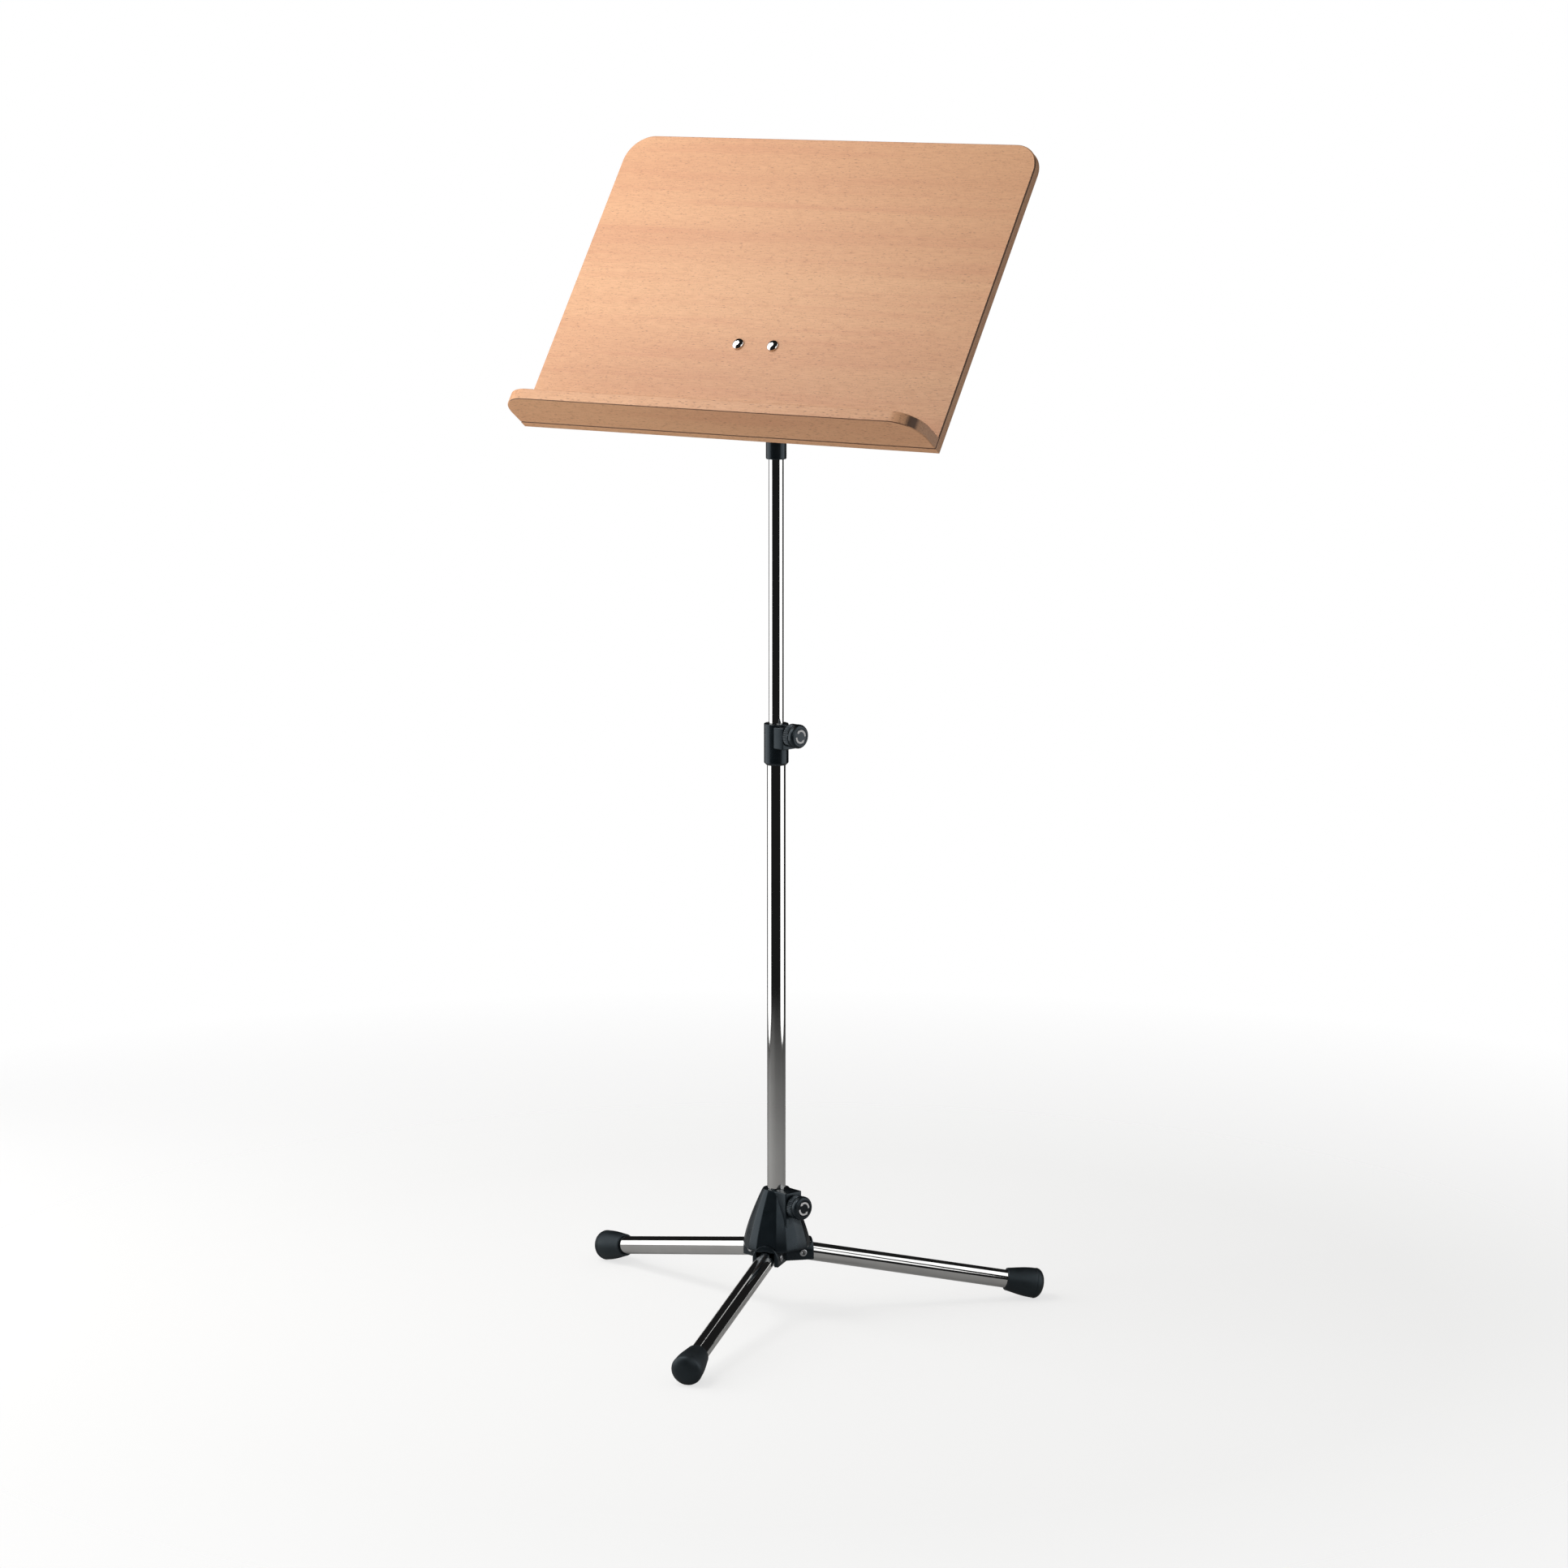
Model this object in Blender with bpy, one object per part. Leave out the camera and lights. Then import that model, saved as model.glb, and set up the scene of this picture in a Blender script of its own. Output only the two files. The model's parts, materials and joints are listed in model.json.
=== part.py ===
"""Orchestra music stand: folding tripod base, two-section mast and tilting wooden desk.

Metres, +Z up. The desk faces -Y and its right side is +X. The origin is on the floor,
under the centre of the box that the whole stand fills.
"""
import math

import bmesh
import bpy
from mathutils import Vector

# ---------------------------------------------------------------- driving dimensions
MAST_X = 0.0150                 # mast axis, from the origin
MAST_Y = 0.0356
GAP = 0.0003                    # clearance between pieces that touch
SLOT_CLEARANCE = 0.0006         # clearance of a leg in its slot

# Desk, in its own upright frame: the tilt axis is X, the board stands in front of it.
DESK_WIDTH = 0.5231
DESK_HEIGHT = 0.3645
DESK_THICKNESS = 0.0102
DESK_CORNER_RADIUS = 0.032
DESK_LEAN = math.radians(34.98)  # from vertical, as the stand is set
DESK_DROP = 0.109               # from the tilt axis down to the board's lower edge
DESK_STANDOFF = 0.0376          # from the tilt axis to the board's back
LEDGE_DEPTH = 0.0509
LEDGE_THICKNESS = 0.0129
LEDGE_CORNER_RADIUS = 0.032
EDGE_ROUND = 0.0010

BOLT_SPACING = 0.0437           # the two bolts that hold the bracket
BOLT_RADIUS = 0.0030
BOLT_HEAD_RADIUS = 0.0068
BOLT_HEAD_HEIGHT = 0.0034
BOLT_OVERHANG = 0.0015          # bolt beyond its nut
NUT_RADIUS = 0.0058
NUT_HEIGHT = 0.0050
WASHER_RADIUS = 0.0065
WASHER_THICKNESS = 0.0012
LEDGE_SCREW_RADIUS = 0.0020
LEDGE_SCREW_HEAD_RADIUS = 0.0040
LEDGE_SCREW_LENGTH = 0.0320
LEDGE_SCREW_INSET = 0.0600      # outer screws from the board's ends

# Tilt joint
TILT_HEIGHT = 1.0305            # tilt axis above the floor
BRACKET_WIDTH = BOLT_SPACING + 0.0203
BRACKET_HEIGHT = 0.0400
BRACKET_THICKNESS = 0.0025
BRACKET_CORNER_RADIUS = 0.0060
LUG_THICKNESS = 0.0160
LUG_RADIUS = 0.0110
TILT_BOLT_RADIUS = 0.0040
TILT_BOLT_HEAD_RADIUS = 0.0075
TILT_BOLT_HEAD_HEIGHT = 0.0053
TILT_WASHER_THICKNESS = 0.0015
TILT_WASHER_RADIUS = 0.0085
TILT_KNOB_RADIUS = 0.0170
TILT_KNOB_LENGTH = 0.0230
TILT_KNOB_NECK = 0.0060
TILT_KNOB_FACE = 0.0080         # plastic beyond the bolt's end
TILT_KNOB_LOBES = 6
TILT_KNOB_LOBE_DEPTH = 0.0032

# Mast
LOWER_TUBE_RADIUS = 0.0100
LOWER_TUBE_WALL = 0.0012
LOWER_TUBE_TOP = 0.6260
UPPER_TUBE_RADIUS = 0.0080
UPPER_TUBE_WALL = 0.0010
UPPER_TUBE_BOTTOM = 0.3640
SLIDE_PLUG_HEIGHT = 0.0120      # below the upper tube
SOCKET_BOTTOM = TILT_HEIGHT - 0.0957
SOCKET_TOP = TILT_HEIGHT - 0.0187
SOCKET_RADIUS = UPPER_TUBE_RADIUS + 0.0030
SOCKET_DEPTH = 0.0530
LOCK_SCREW_RADIUS = 0.0020
LOCK_SCREW_KEY_RADIUS = 0.0011
LOCK_SCREW_HEIGHT = 0.0150      # above the socket's lower end
COLLAR_BOTTOM = LOWER_TUBE_TOP - 0.0198
COLLAR_TOP = LOWER_TUBE_TOP + 0.0251
COLLAR_RADIUS = LOWER_TUBE_RADIUS + 0.00325
COLLAR_LIP = 0.0011
COLLAR_BOSS_BOTTOM = LOWER_TUBE_TOP - 0.0010
COLLAR_BOSS_TOP = LOWER_TUBE_TOP + 0.0226
COLLAR_BOSS_REACH = COLLAR_RADIUS + 0.00775
COLLAR_BOSS_WIDTH = 0.0220
HEIGHT_KNOB_Z = LOWER_TUBE_TOP + 0.0143
HEIGHT_KNOB_AZIMUTH = math.radians(-11.25)
HEIGHT_KNOB_START = COLLAR_BOSS_REACH + 0.0005      # back of the knob, from the mast axis

# Clamp knobs, measured outward along the screw
KNOB_RADIUS = 0.0130
KNOB_LENGTH = 0.0155
KNOB_GRIP_LENGTH = 0.0085
KNOB_CAP_RADIUS = 0.0087
KNOB_CAP_THICKNESS = 0.0012
CLAMP_SCREW_RADIUS = 0.0040
CLAMP_SCREW_DEPTH = 0.0100      # length of screw held in the knob
PAD_RADIUS = CLAMP_SCREW_RADIUS + 0.0005
PAD_THICKNESS = 0.0024
INSERT_RADIUS = CLAMP_SCREW_RADIUS + 0.0025         # brass insert that the screw turns in

# Legs
LEG_AZIMUTHS = {"right": 45.12, "left": 165.12, "front": 285.12}
LEG_TUBE_RADIUS = 0.0100
LEG_TUBE_WALL = 0.0012
LEG_PIVOT_Z = 0.0685
LEG_HEEL = 0.0080               # tube behind the pivot
LEG_REACH = 0.3000              # tip of the foot from the mast axis
LEG_HOUSING_WIDTH = 2 * LEG_TUBE_RADIUS + 0.0090
PIN_RADIUS = 0.0030
PIN_BORE = 0.0019
PIN_HEAD_RADIUS = 0.0039
PIN_HEAD_THICKNESS = 0.0008
LEG_INSERT_LENGTH = 0.0280
INSERT_FLANGE = 0.0012          # nylon behind the tube's end
FOOT_LENGTH = 0.0430
FOOT_MOUTH_RADIUS = LEG_TUBE_RADIUS + 0.0030
FOOT_RADIUS = LEG_TUBE_RADIUS + 0.0068
FOOT_DOME = 0.0090              # length of the rounded toe
FOOT_TOE_WALL = 0.0100
SOLE_DEPTH = 0.0006             # rubber cut away under the foot's shoulder

# Base hub
HUB_TOP = 0.1395
HUB_RIM = LEG_PIVOT_Z + 0.0070  # lower edge of the bell
HUB_BOTTOM = LEG_PIVOT_Z - 0.0080
HUB_SWELL = 1.45                # exponent of the bell's outline
HUB_LIP = 0.0028                # ledge that carries the lower tube
HUB_LIP_OVERLAP = 0.0014        # width of that ledge
HUB_CORE_WALL = 0.0028          # plastic between the mast and the room for a leg's heel
HEEL_SWEEP = math.hypot(LEG_HEEL + INSERT_FLANGE, LEG_TUBE_RADIUS) + SLOT_CLEARANCE
LEG_PIVOT_RADIUS = LOWER_TUBE_RADIUS + HUB_CORE_WALL + HEEL_SWEEP
HUB_TOP_RADIUS = LOWER_TUBE_RADIUS + 0.0050
HUB_RIM_RADIUS = LEG_PIVOT_RADIUS + 0.0086
LEG_HOUSING_REACH = LEG_PIVOT_RADIUS + 0.0120
HUB_BOSS_REACH = LOWER_TUBE_RADIUS + 0.0184
HUB_BOSS_WIDTH = 0.0230
HUB_BOSS_DROP = 0.0400
POCKET_PLACE = LOWER_TUBE_RADIUS + 0.0130   # moulding pockets, from the mast axis
POCKET_RADIUS = 0.0075
POCKET_DEPTH = 0.0220
BASE_KNOB_Z = HUB_TOP - 0.0152
BASE_INSERT_START = LOWER_TUBE_RADIUS + 0.0065      # inner end of the brass insert
BASE_KNOB_START = HUB_BOSS_REACH + 0.0016           # back of the knob, from the mast axis
PLUG_FLANGE = 0.0020            # plug between the hub's lip and the lower tube

MARGIN = 0.01                   # by which a cutter passes the surface it opens
ROUND = 28                      # sides of a large round piece
SMALL_ROUND = 16                # sides of a small round piece
SHARP_ANGLE = math.radians(35)


# ---------------------------------------------------------------- materials
def make_material(name, colour, metallic, roughness):
    """Make a plain Principled material."""
    material = bpy.data.materials.new(name)
    material.use_nodes = True
    shader = material.node_tree.nodes["Principled BSDF"]
    shader.inputs["Base Color"].default_value = (*colour, 1.0)
    shader.inputs["Metallic"].default_value = metallic
    shader.inputs["Roughness"].default_value = roughness
    material.diffuse_color = (*colour, 1.0)
    return material


def make_materials():
    """Make every material, by the name that the pieces use."""
    finishes = {
        "beech": ((0.78, 0.50, 0.31), 0.0, 0.45),
        "chrome": ((0.75, 0.75, 0.76), 1.0, 0.12),
        "black_plastic": ((0.012, 0.014, 0.017), 0.0, 0.38),
        "black_rubber": ((0.015, 0.015, 0.016), 0.0, 0.75),
        "white_nylon": ((0.80, 0.79, 0.75), 0.0, 0.45),
        "zinc_steel": ((0.55, 0.56, 0.58), 1.0, 0.35),
        "black_steel": ((0.02, 0.02, 0.022), 0.6, 0.42),
        "brass": ((0.70, 0.52, 0.22), 1.0, 0.35),
    }
    return {name: make_material(name, *values) for name, values in finishes.items()}


# ---------------------------------------------------------------- modelling tools
def clear_scene():
    """Remove whatever the scene starts with."""
    for obj in list(bpy.data.objects):
        bpy.data.objects.remove(obj, do_unlink=True)


def add_empty(name, location, rotation=(0.0, 0.0, 0.0), parent=None):
    """Add an empty that places the pieces parented to it."""
    empty = bpy.data.objects.new(name, None)
    empty.location = location
    empty.rotation_euler = rotation
    empty.parent = parent
    bpy.context.scene.collection.objects.link(empty)
    return empty


def add_object(name, bm, material, parent, location=(0.0, 0.0, 0.0), rotation=(0.0, 0.0, 0.0)):
    """Turn a bmesh into a placed object, shaded smooth except at sharp edges."""
    bmesh.ops.recalc_face_normals(bm, faces=bm.faces)
    mesh = bpy.data.meshes.new(name)
    bm.to_mesh(mesh)
    bm.free()
    if material:
        mesh.materials.append(material)
    mesh.shade_smooth()
    mesh.set_sharp_from_angle(angle=SHARP_ANGLE)
    obj = bpy.data.objects.new(name, mesh)
    obj.location = location
    obj.rotation_euler = rotation
    obj.parent = parent
    bpy.context.scene.collection.objects.link(obj)
    return obj


def turned(profile, sides):
    """Spin (radius, height) points about Z. Ends at radius 0 close on the axis."""
    bm = bmesh.new()
    rings = []
    for radius, height in profile:
        if radius == 0.0:
            rings.append([bm.verts.new((0.0, 0.0, height))])
            continue
        ring = []
        for side in range(sides):
            angle = math.tau * side / sides
            ring.append(bm.verts.new((radius * math.cos(angle), radius * math.sin(angle), height)))
        rings.append(ring)
    pairs = list(zip(rings, rings[1:]))
    if len(rings[0]) > 1:
        pairs.append((rings[-1], rings[0]))
    for first, second in pairs:
        for side in range(sides):
            following = (side + 1) % sides
            if len(first) == 1:
                bm.faces.new((first[0], second[side], second[following]))
            elif len(second) == 1:
                bm.faces.new((first[side], second[0], first[following]))
            else:
                bm.faces.new((first[side], second[side], second[following], first[following]))
    return bm


def prism(outline, start, depth, plane="XY"):
    """Extrude a closed outline, drawn in one of the main planes, along the third axis."""
    places = {
        "XY": lambda u, v, w: (u, v, w),
        "XZ": lambda u, v, w: (u, w, v),
        "YZ": lambda u, v, w: (w, u, v),
    }
    place = places[plane]
    bm = bmesh.new()
    near = bm.faces.new([bm.verts.new(place(u, v, start)) for u, v in outline])
    far = bmesh.ops.extrude_face_region(bm, geom=[near])
    moved = [item for item in far["geom"] if isinstance(item, bmesh.types.BMVert)]
    bmesh.ops.translate(bm, verts=moved, vec=Vector(place(0.0, 0.0, depth)))
    return bm


def block(low, high):
    """A box between two corners."""
    outline = [(low[0], low[1]), (high[0], low[1]), (high[0], high[1]), (low[0], high[1])]
    return prism(outline, low[2], high[2] - low[2])


def rounded_outline(corners, steps=6):
    """Outline through (x, y, radius) corners, each rounded by an arc of its radius."""
    points = []
    count = len(corners)
    for index, (x, y, radius) in enumerate(corners):
        corner = Vector((x, y))
        if radius == 0.0:
            points.append((x, y))
            continue
        before = (Vector(corners[index - 1][:2]) - corner).normalized()
        after = (Vector(corners[(index + 1) % count][:2]) - corner).normalized()
        half = before.angle(after) / 2
        centre = corner + (before + after).normalized() * (radius / math.sin(half))
        first = corner + before * (radius / math.tan(half)) - centre
        last = corner + after * (radius / math.tan(half)) - centre
        sweep = first.angle_signed(last)
        for step in range(steps + 1):
            angle = -sweep * step / steps
            turned_x = first.x * math.cos(angle) - first.y * math.sin(angle)
            turned_y = first.x * math.sin(angle) + first.y * math.cos(angle)
            points.append((centre.x + turned_x, centre.y + turned_y))
    return points


def regular_outline(radius, sides, turn=0.0):
    """A regular polygon about the origin, by the radius of its corners."""
    angles = [turn + math.tau * side / sides for side in range(sides)]
    return [(radius * math.cos(angle), radius * math.sin(angle)) for angle in angles]


def combine(target, helper, operation):
    """Cut a hidden helper from the target, or join it to the target."""
    modifier = target.modifiers.new(helper.name, "BOOLEAN")
    modifier.operation = operation
    modifier.solver = "EXACT"
    modifier.object = helper
    helper.hide_render = True
    helper.display_type = "WIRE"


def add_bevel(target, width, segments=2):
    """Round the target's sharp edges."""
    modifier = target.modifiers.new("edge_round", "BEVEL")
    modifier.width = width
    modifier.segments = segments
    modifier.limit_method = "ANGLE"
    modifier.angle_limit = SHARP_ANGLE


def round_bar(radius, start, end, sides=SMALL_ROUND):
    """A plain round bar along Z, as used for holes."""
    return turned([(0.0, start), (radius, start), (radius, end), (0.0, end)], sides)


def ring_bar(inner, outer, start, end, sides, chamfer=0.0):
    """A round sleeve along Z, its outer edges chamfered where a chamfer is given."""
    if not chamfer:
        return turned([(inner, start), (outer, start), (outer, end), (inner, end)], sides)
    return turned([(inner, start), (outer - chamfer, start), (outer, start + chamfer),
                   (outer, end - chamfer), (outer - chamfer, end), (inner, end)], sides)


ALONG_X = (0.0, math.pi / 2, 0.0)       # turns a piece's Z axis to X
ALONG_Y = (-math.pi / 2, 0.0, 0.0)      # turns a piece's Z axis to Y


# ---------------------------------------------------------------- base hub
def bell_radius(height):
    """Radius of the bell at its ridges."""
    share = (HUB_TOP - height) / (HUB_TOP - HUB_RIM)
    return HUB_TOP_RADIUS + (HUB_RIM_RADIUS - HUB_TOP_RADIUS) * (1 - (1 - share) ** HUB_SWELL)


def bell_ring(height):
    """One section of the bell: a broad face over each leg, narrow strips and a ridge."""
    share = (HUB_TOP - height) / (HUB_TOP - HUB_RIM)
    corners = ((-36.0, 0.04), (-17.5, 0.06), (17.5, 0.06), (36.0, 0.04), (60.0, 0.0))
    points = []
    for azimuth in LEG_AZIMUTHS.values():
        for turn, swell in corners:
            radius = bell_radius(height) * (1 + swell * share)
            angle = math.radians(azimuth + turn)
            points.append((radius * math.cos(angle), radius * math.sin(angle), height))
    return points


def add_bell(material, parent):
    """The faceted bell, solid until its bore and slots are cut."""
    levels = 7
    bm = bmesh.new()
    rings = []
    for level in range(levels):
        height = HUB_TOP + (HUB_RIM - HUB_TOP) * level / (levels - 1)
        rings.append([bm.verts.new(point) for point in bell_ring(height)])
    for upper, lower in zip(rings, rings[1:]):
        for side in range(len(upper)):
            following = (side + 1) % len(upper)
            bm.faces.new((upper[side], lower[side], lower[following], upper[following]))
    bm.faces.new(rings[0])
    bm.faces.new(rings[-1])
    return add_object("base_hub", bm, material, parent)


def leg_slope():
    """Angle of a leg below level that brings its foot's shoulder to the floor."""
    slope = 0.0
    for _ in range(30):
        drop = LEG_PIVOT_Z + SOLE_DEPTH + FOOT_DOME * math.sin(slope)
        drop -= FOOT_RADIUS * math.cos(slope)
        slope = math.atan(drop / (LEG_REACH - LEG_PIVOT_RADIUS))
    return slope


def leg_rotation(azimuth):
    """Points a piece's X axis along a leg, outward and down."""
    return (0.0, leg_slope(), math.radians(azimuth))


def add_hub(materials, stand):
    """The moulded hub with its leg housings, knob boss, bore and slots."""
    hub = add_bell(materials["black_plastic"], stand)
    half = LEG_HOUSING_WIDTH / 2
    arch = [(half * math.cos(a), LEG_PIVOT_Z + half * math.sin(a))
            for a in (math.pi * step / 12 for step in range(13))]
    housing_outline = [(half, HUB_BOTTOM)] + arch + [(-half, HUB_BOTTOM)]
    for side, azimuth in LEG_AZIMUTHS.items():
        turn = (0.0, 0.0, math.radians(azimuth))
        housing = add_object("helper_housing_" + side,
                             prism(housing_outline, 0.0, LEG_HOUSING_REACH, "YZ"),
                             None, stand, rotation=turn)
        combine(hub, housing, "UNION")
    boss_azimuth = math.radians(base_knob_azimuth())
    boss_half = HUB_BOSS_WIDTH / 2
    boss = add_object("helper_boss",
                      block((0.0, -boss_half, HUB_TOP - HUB_BOSS_DROP),
                            (HUB_BOSS_REACH, boss_half, HUB_TOP - GAP)),
                      None, stand, rotation=(0.0, 0.0, boss_azimuth))
    combine(hub, boss, "UNION")

    bore = LOWER_TUBE_RADIUS + GAP
    lip_bore = LOWER_TUBE_RADIUS - HUB_LIP_OVERLAP
    lip_top = HUB_BOTTOM + HUB_LIP
    bore_cutter = add_object("helper_bore", turned([
        (0.0, HUB_BOTTOM - MARGIN), (lip_bore, HUB_BOTTOM - MARGIN), (lip_bore, lip_top),
        (bore, lip_top), (bore, HUB_TOP + MARGIN), (0.0, HUB_TOP + MARGIN)], ROUND), None, stand)
    combine(hub, bore_cutter, "DIFFERENCE")

    screw_hole = add_object("helper_base_screw_hole", stepped_hole(
        LOWER_TUBE_RADIUS - 0.001, BASE_INSERT_START, HUB_BOSS_REACH), None, stand,
        (0.0, 0.0, BASE_KNOB_Z), clamp_rotation(boss_azimuth))
    combine(hub, screw_hole, "DIFFERENCE")
    for side, azimuth in LEG_AZIMUTHS.items():
        cut_leg_room(hub, side, azimuth, stand)
    return hub


def pivot_place(azimuth):
    """A leg's pivot, from its azimuth in degrees."""
    angle = math.radians(azimuth)
    return (LEG_PIVOT_RADIUS * math.cos(angle), LEG_PIVOT_RADIUS * math.sin(angle), LEG_PIVOT_Z)


def cut_leg_room(hub, side, azimuth, stand):
    """Pin hole, leg slot, room for the heel to swing, and a pocket beside the leg."""
    pivot = pivot_place(azimuth)
    pin_hole = add_object("helper_pin_hole_" + side,
                          round_bar(PIN_RADIUS + GAP, -LEG_HOUSING_WIDTH, LEG_HOUSING_WIDTH),
                          None, stand, pivot, leg_pin_rotation(azimuth))
    combine(hub, pin_hole, "DIFFERENCE")

    slot_radius = LEG_TUBE_RADIUS + SLOT_CLEARANCE
    slot_arch = [(slot_radius * math.cos(a), slot_radius * math.sin(a))
                 for a in (math.pi * step / 12 for step in range(13))]
    slot_depth = 0.05
    slot_outline = [(slot_radius, -slot_depth)] + slot_arch + [(-slot_radius, -slot_depth)]
    slot = add_object("helper_slot_" + side, prism(slot_outline, 0.0, slot_depth, "YZ"),
                      None, stand, pivot, leg_rotation(azimuth))
    combine(hub, slot, "DIFFERENCE")

    sweep_arch = [(HEEL_SWEEP * math.cos(a), HEEL_SWEEP * math.sin(a))
                  for a in (math.pi * step / 16 for step in range(17))]
    sweep_depth = 0.02
    sweep_outline = sweep_arch + [(-HEEL_SWEEP, -sweep_depth), (HEEL_SWEEP, -sweep_depth)]
    sweep_half = slot_radius - 0.0001
    sweep = add_object("helper_sweep_" + side,
                       prism(sweep_outline, -sweep_half, 2 * sweep_half, "XZ"),
                       None, stand, pivot, (0.0, 0.0, math.radians(azimuth)))
    combine(hub, sweep, "DIFFERENCE")

    pocket_angle = math.radians(azimuth + 60.0)
    pocket = add_object("helper_pocket_" + side, turned([
        (0.0, HUB_RIM - 0.005), (POCKET_RADIUS, HUB_RIM - 0.005),
        (POCKET_RADIUS - 0.003, HUB_RIM + POCKET_DEPTH), (0.0, HUB_RIM + POCKET_DEPTH)],
        SMALL_ROUND), None, stand,
        (POCKET_PLACE * math.cos(pocket_angle), POCKET_PLACE * math.sin(pocket_angle), 0.0))
    combine(hub, pocket, "DIFFERENCE")


def base_knob_azimuth():
    """The base knob stands midway between the right and front legs, in degrees."""
    return (LEG_AZIMUTHS["right"] + LEG_AZIMUTHS["front"] - 360.0) / 2


def stepped_hole(start, shoulder, end):
    """Hole for a pad and screw, with a wider end for the brass insert."""
    return turned([(0.0, start), (PAD_RADIUS + GAP, start), (PAD_RADIUS + GAP, shoulder),
                   (INSERT_RADIUS + GAP, shoulder), (INSERT_RADIUS + GAP, end + MARGIN),
                   (0.0, end + MARGIN)], SMALL_ROUND)


def clamp_rotation(azimuth):
    """Points a piece's Z axis outward at an azimuth in radians."""
    return (0.0, math.pi / 2, azimuth)


def leg_pin_rotation(azimuth):
    """Points a piece's Z axis across a leg."""
    return (math.pi / 2, 0.0, math.radians(azimuth))


# ---------------------------------------------------------------- legs
def add_leg(side, azimuth, materials, stand):
    """One folding leg about its pivot, with its pin, insert and rubber foot."""
    pivot_location = pivot_place(azimuth)
    pivot = add_empty("pivot_leg_" + side, pivot_location, leg_rotation(azimuth), stand)
    toe = (LEG_REACH - LEG_PIVOT_RADIUS) / math.cos(leg_slope())
    mouth = toe - FOOT_LENGTH
    tube_end = toe - FOOT_TOE_WALL
    tube_bore = LEG_TUBE_RADIUS - LEG_TUBE_WALL

    cross_hole = add_object("helper_leg_hole_" + side,
                            round_bar(PIN_RADIUS + GAP, -LEG_TUBE_RADIUS * 1.2, LEG_TUBE_RADIUS * 1.2),
                            None, pivot, rotation=ALONG_Y)
    tube = add_object("leg_tube_" + side,
                      ring_bar(tube_bore, LEG_TUBE_RADIUS, -LEG_HEEL, tube_end, ROUND),
                      materials["chrome"], pivot, rotation=ALONG_X)
    combine(tube, cross_hole, "DIFFERENCE")
    flange = LEG_TUBE_RADIUS - 0.0004
    shank = tube_bore - GAP
    insert = add_object("leg_insert_" + side, turned([
        (0.0, -LEG_HEEL - INSERT_FLANGE), (flange - 0.0008, -LEG_HEEL - INSERT_FLANGE),
        (flange, -LEG_HEEL - 0.0006), (flange, -LEG_HEEL - GAP), (shank, -LEG_HEEL - GAP),
        (shank, LEG_INSERT_LENGTH - 0.001), (shank - 0.001, LEG_INSERT_LENGTH),
        (0.0, LEG_INSERT_LENGTH)], SMALL_ROUND), materials["black_plastic"], pivot,
        rotation=ALONG_X)
    combine(insert, cross_hole, "DIFFERENCE")

    add_foot(side, materials, stand, pivot, mouth, toe, tube_end)

    half = LEG_HOUSING_WIDTH / 2 + GAP
    head = half + PIN_HEAD_THICKNESS
    add_object("leg_pin_" + side, turned([
        (PIN_BORE, -head), (PIN_HEAD_RADIUS - 0.0004, -head), (PIN_HEAD_RADIUS, -head + 0.0004),
        (PIN_HEAD_RADIUS, -half), (PIN_RADIUS, -half), (PIN_RADIUS, half), (PIN_HEAD_RADIUS, half),
        (PIN_HEAD_RADIUS, head - 0.0004), (PIN_HEAD_RADIUS - 0.0004, head), (PIN_BORE, head)],
        SMALL_ROUND), materials["zinc_steel"], stand, pivot_location, leg_pin_rotation(azimuth))


def add_foot(side, materials, stand, pivot, mouth, toe, tube_end):
    """The rubber boot on a leg, flat where it meets the floor."""
    bore = LEG_TUBE_RADIUS + GAP
    lip = 0.0012
    shoulder = toe - FOOT_DOME
    band = 0.0020
    band_step = 0.0008
    outer = [(bore, mouth), (FOOT_MOUTH_RADIUS - lip, mouth), (FOOT_MOUTH_RADIUS, mouth + lip),
             (FOOT_RADIUS - band_step, shoulder - 2 * band), (FOOT_RADIUS, shoulder - band),
             (FOOT_RADIUS, shoulder)]
    for step in range(1, 6):
        angle = math.pi / 2 * step / 6
        outer.append((FOOT_RADIUS * math.cos(angle), shoulder + FOOT_DOME * math.sin(angle)))
    profile = [(0.0, tube_end + GAP), (bore, tube_end + GAP)] + outer + [(0.0, toe)]
    foot = add_object("leg_foot_" + side, turned(profile, ROUND), materials["black_rubber"], pivot,
                      rotation=ALONG_X)
    reach = LEG_REACH * 2
    floor = add_object("helper_floor_" + side, block((-reach, -reach, -0.05), (reach, reach, 0.0)),
                       None, stand)
    combine(foot, floor, "DIFFERENCE")


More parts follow.
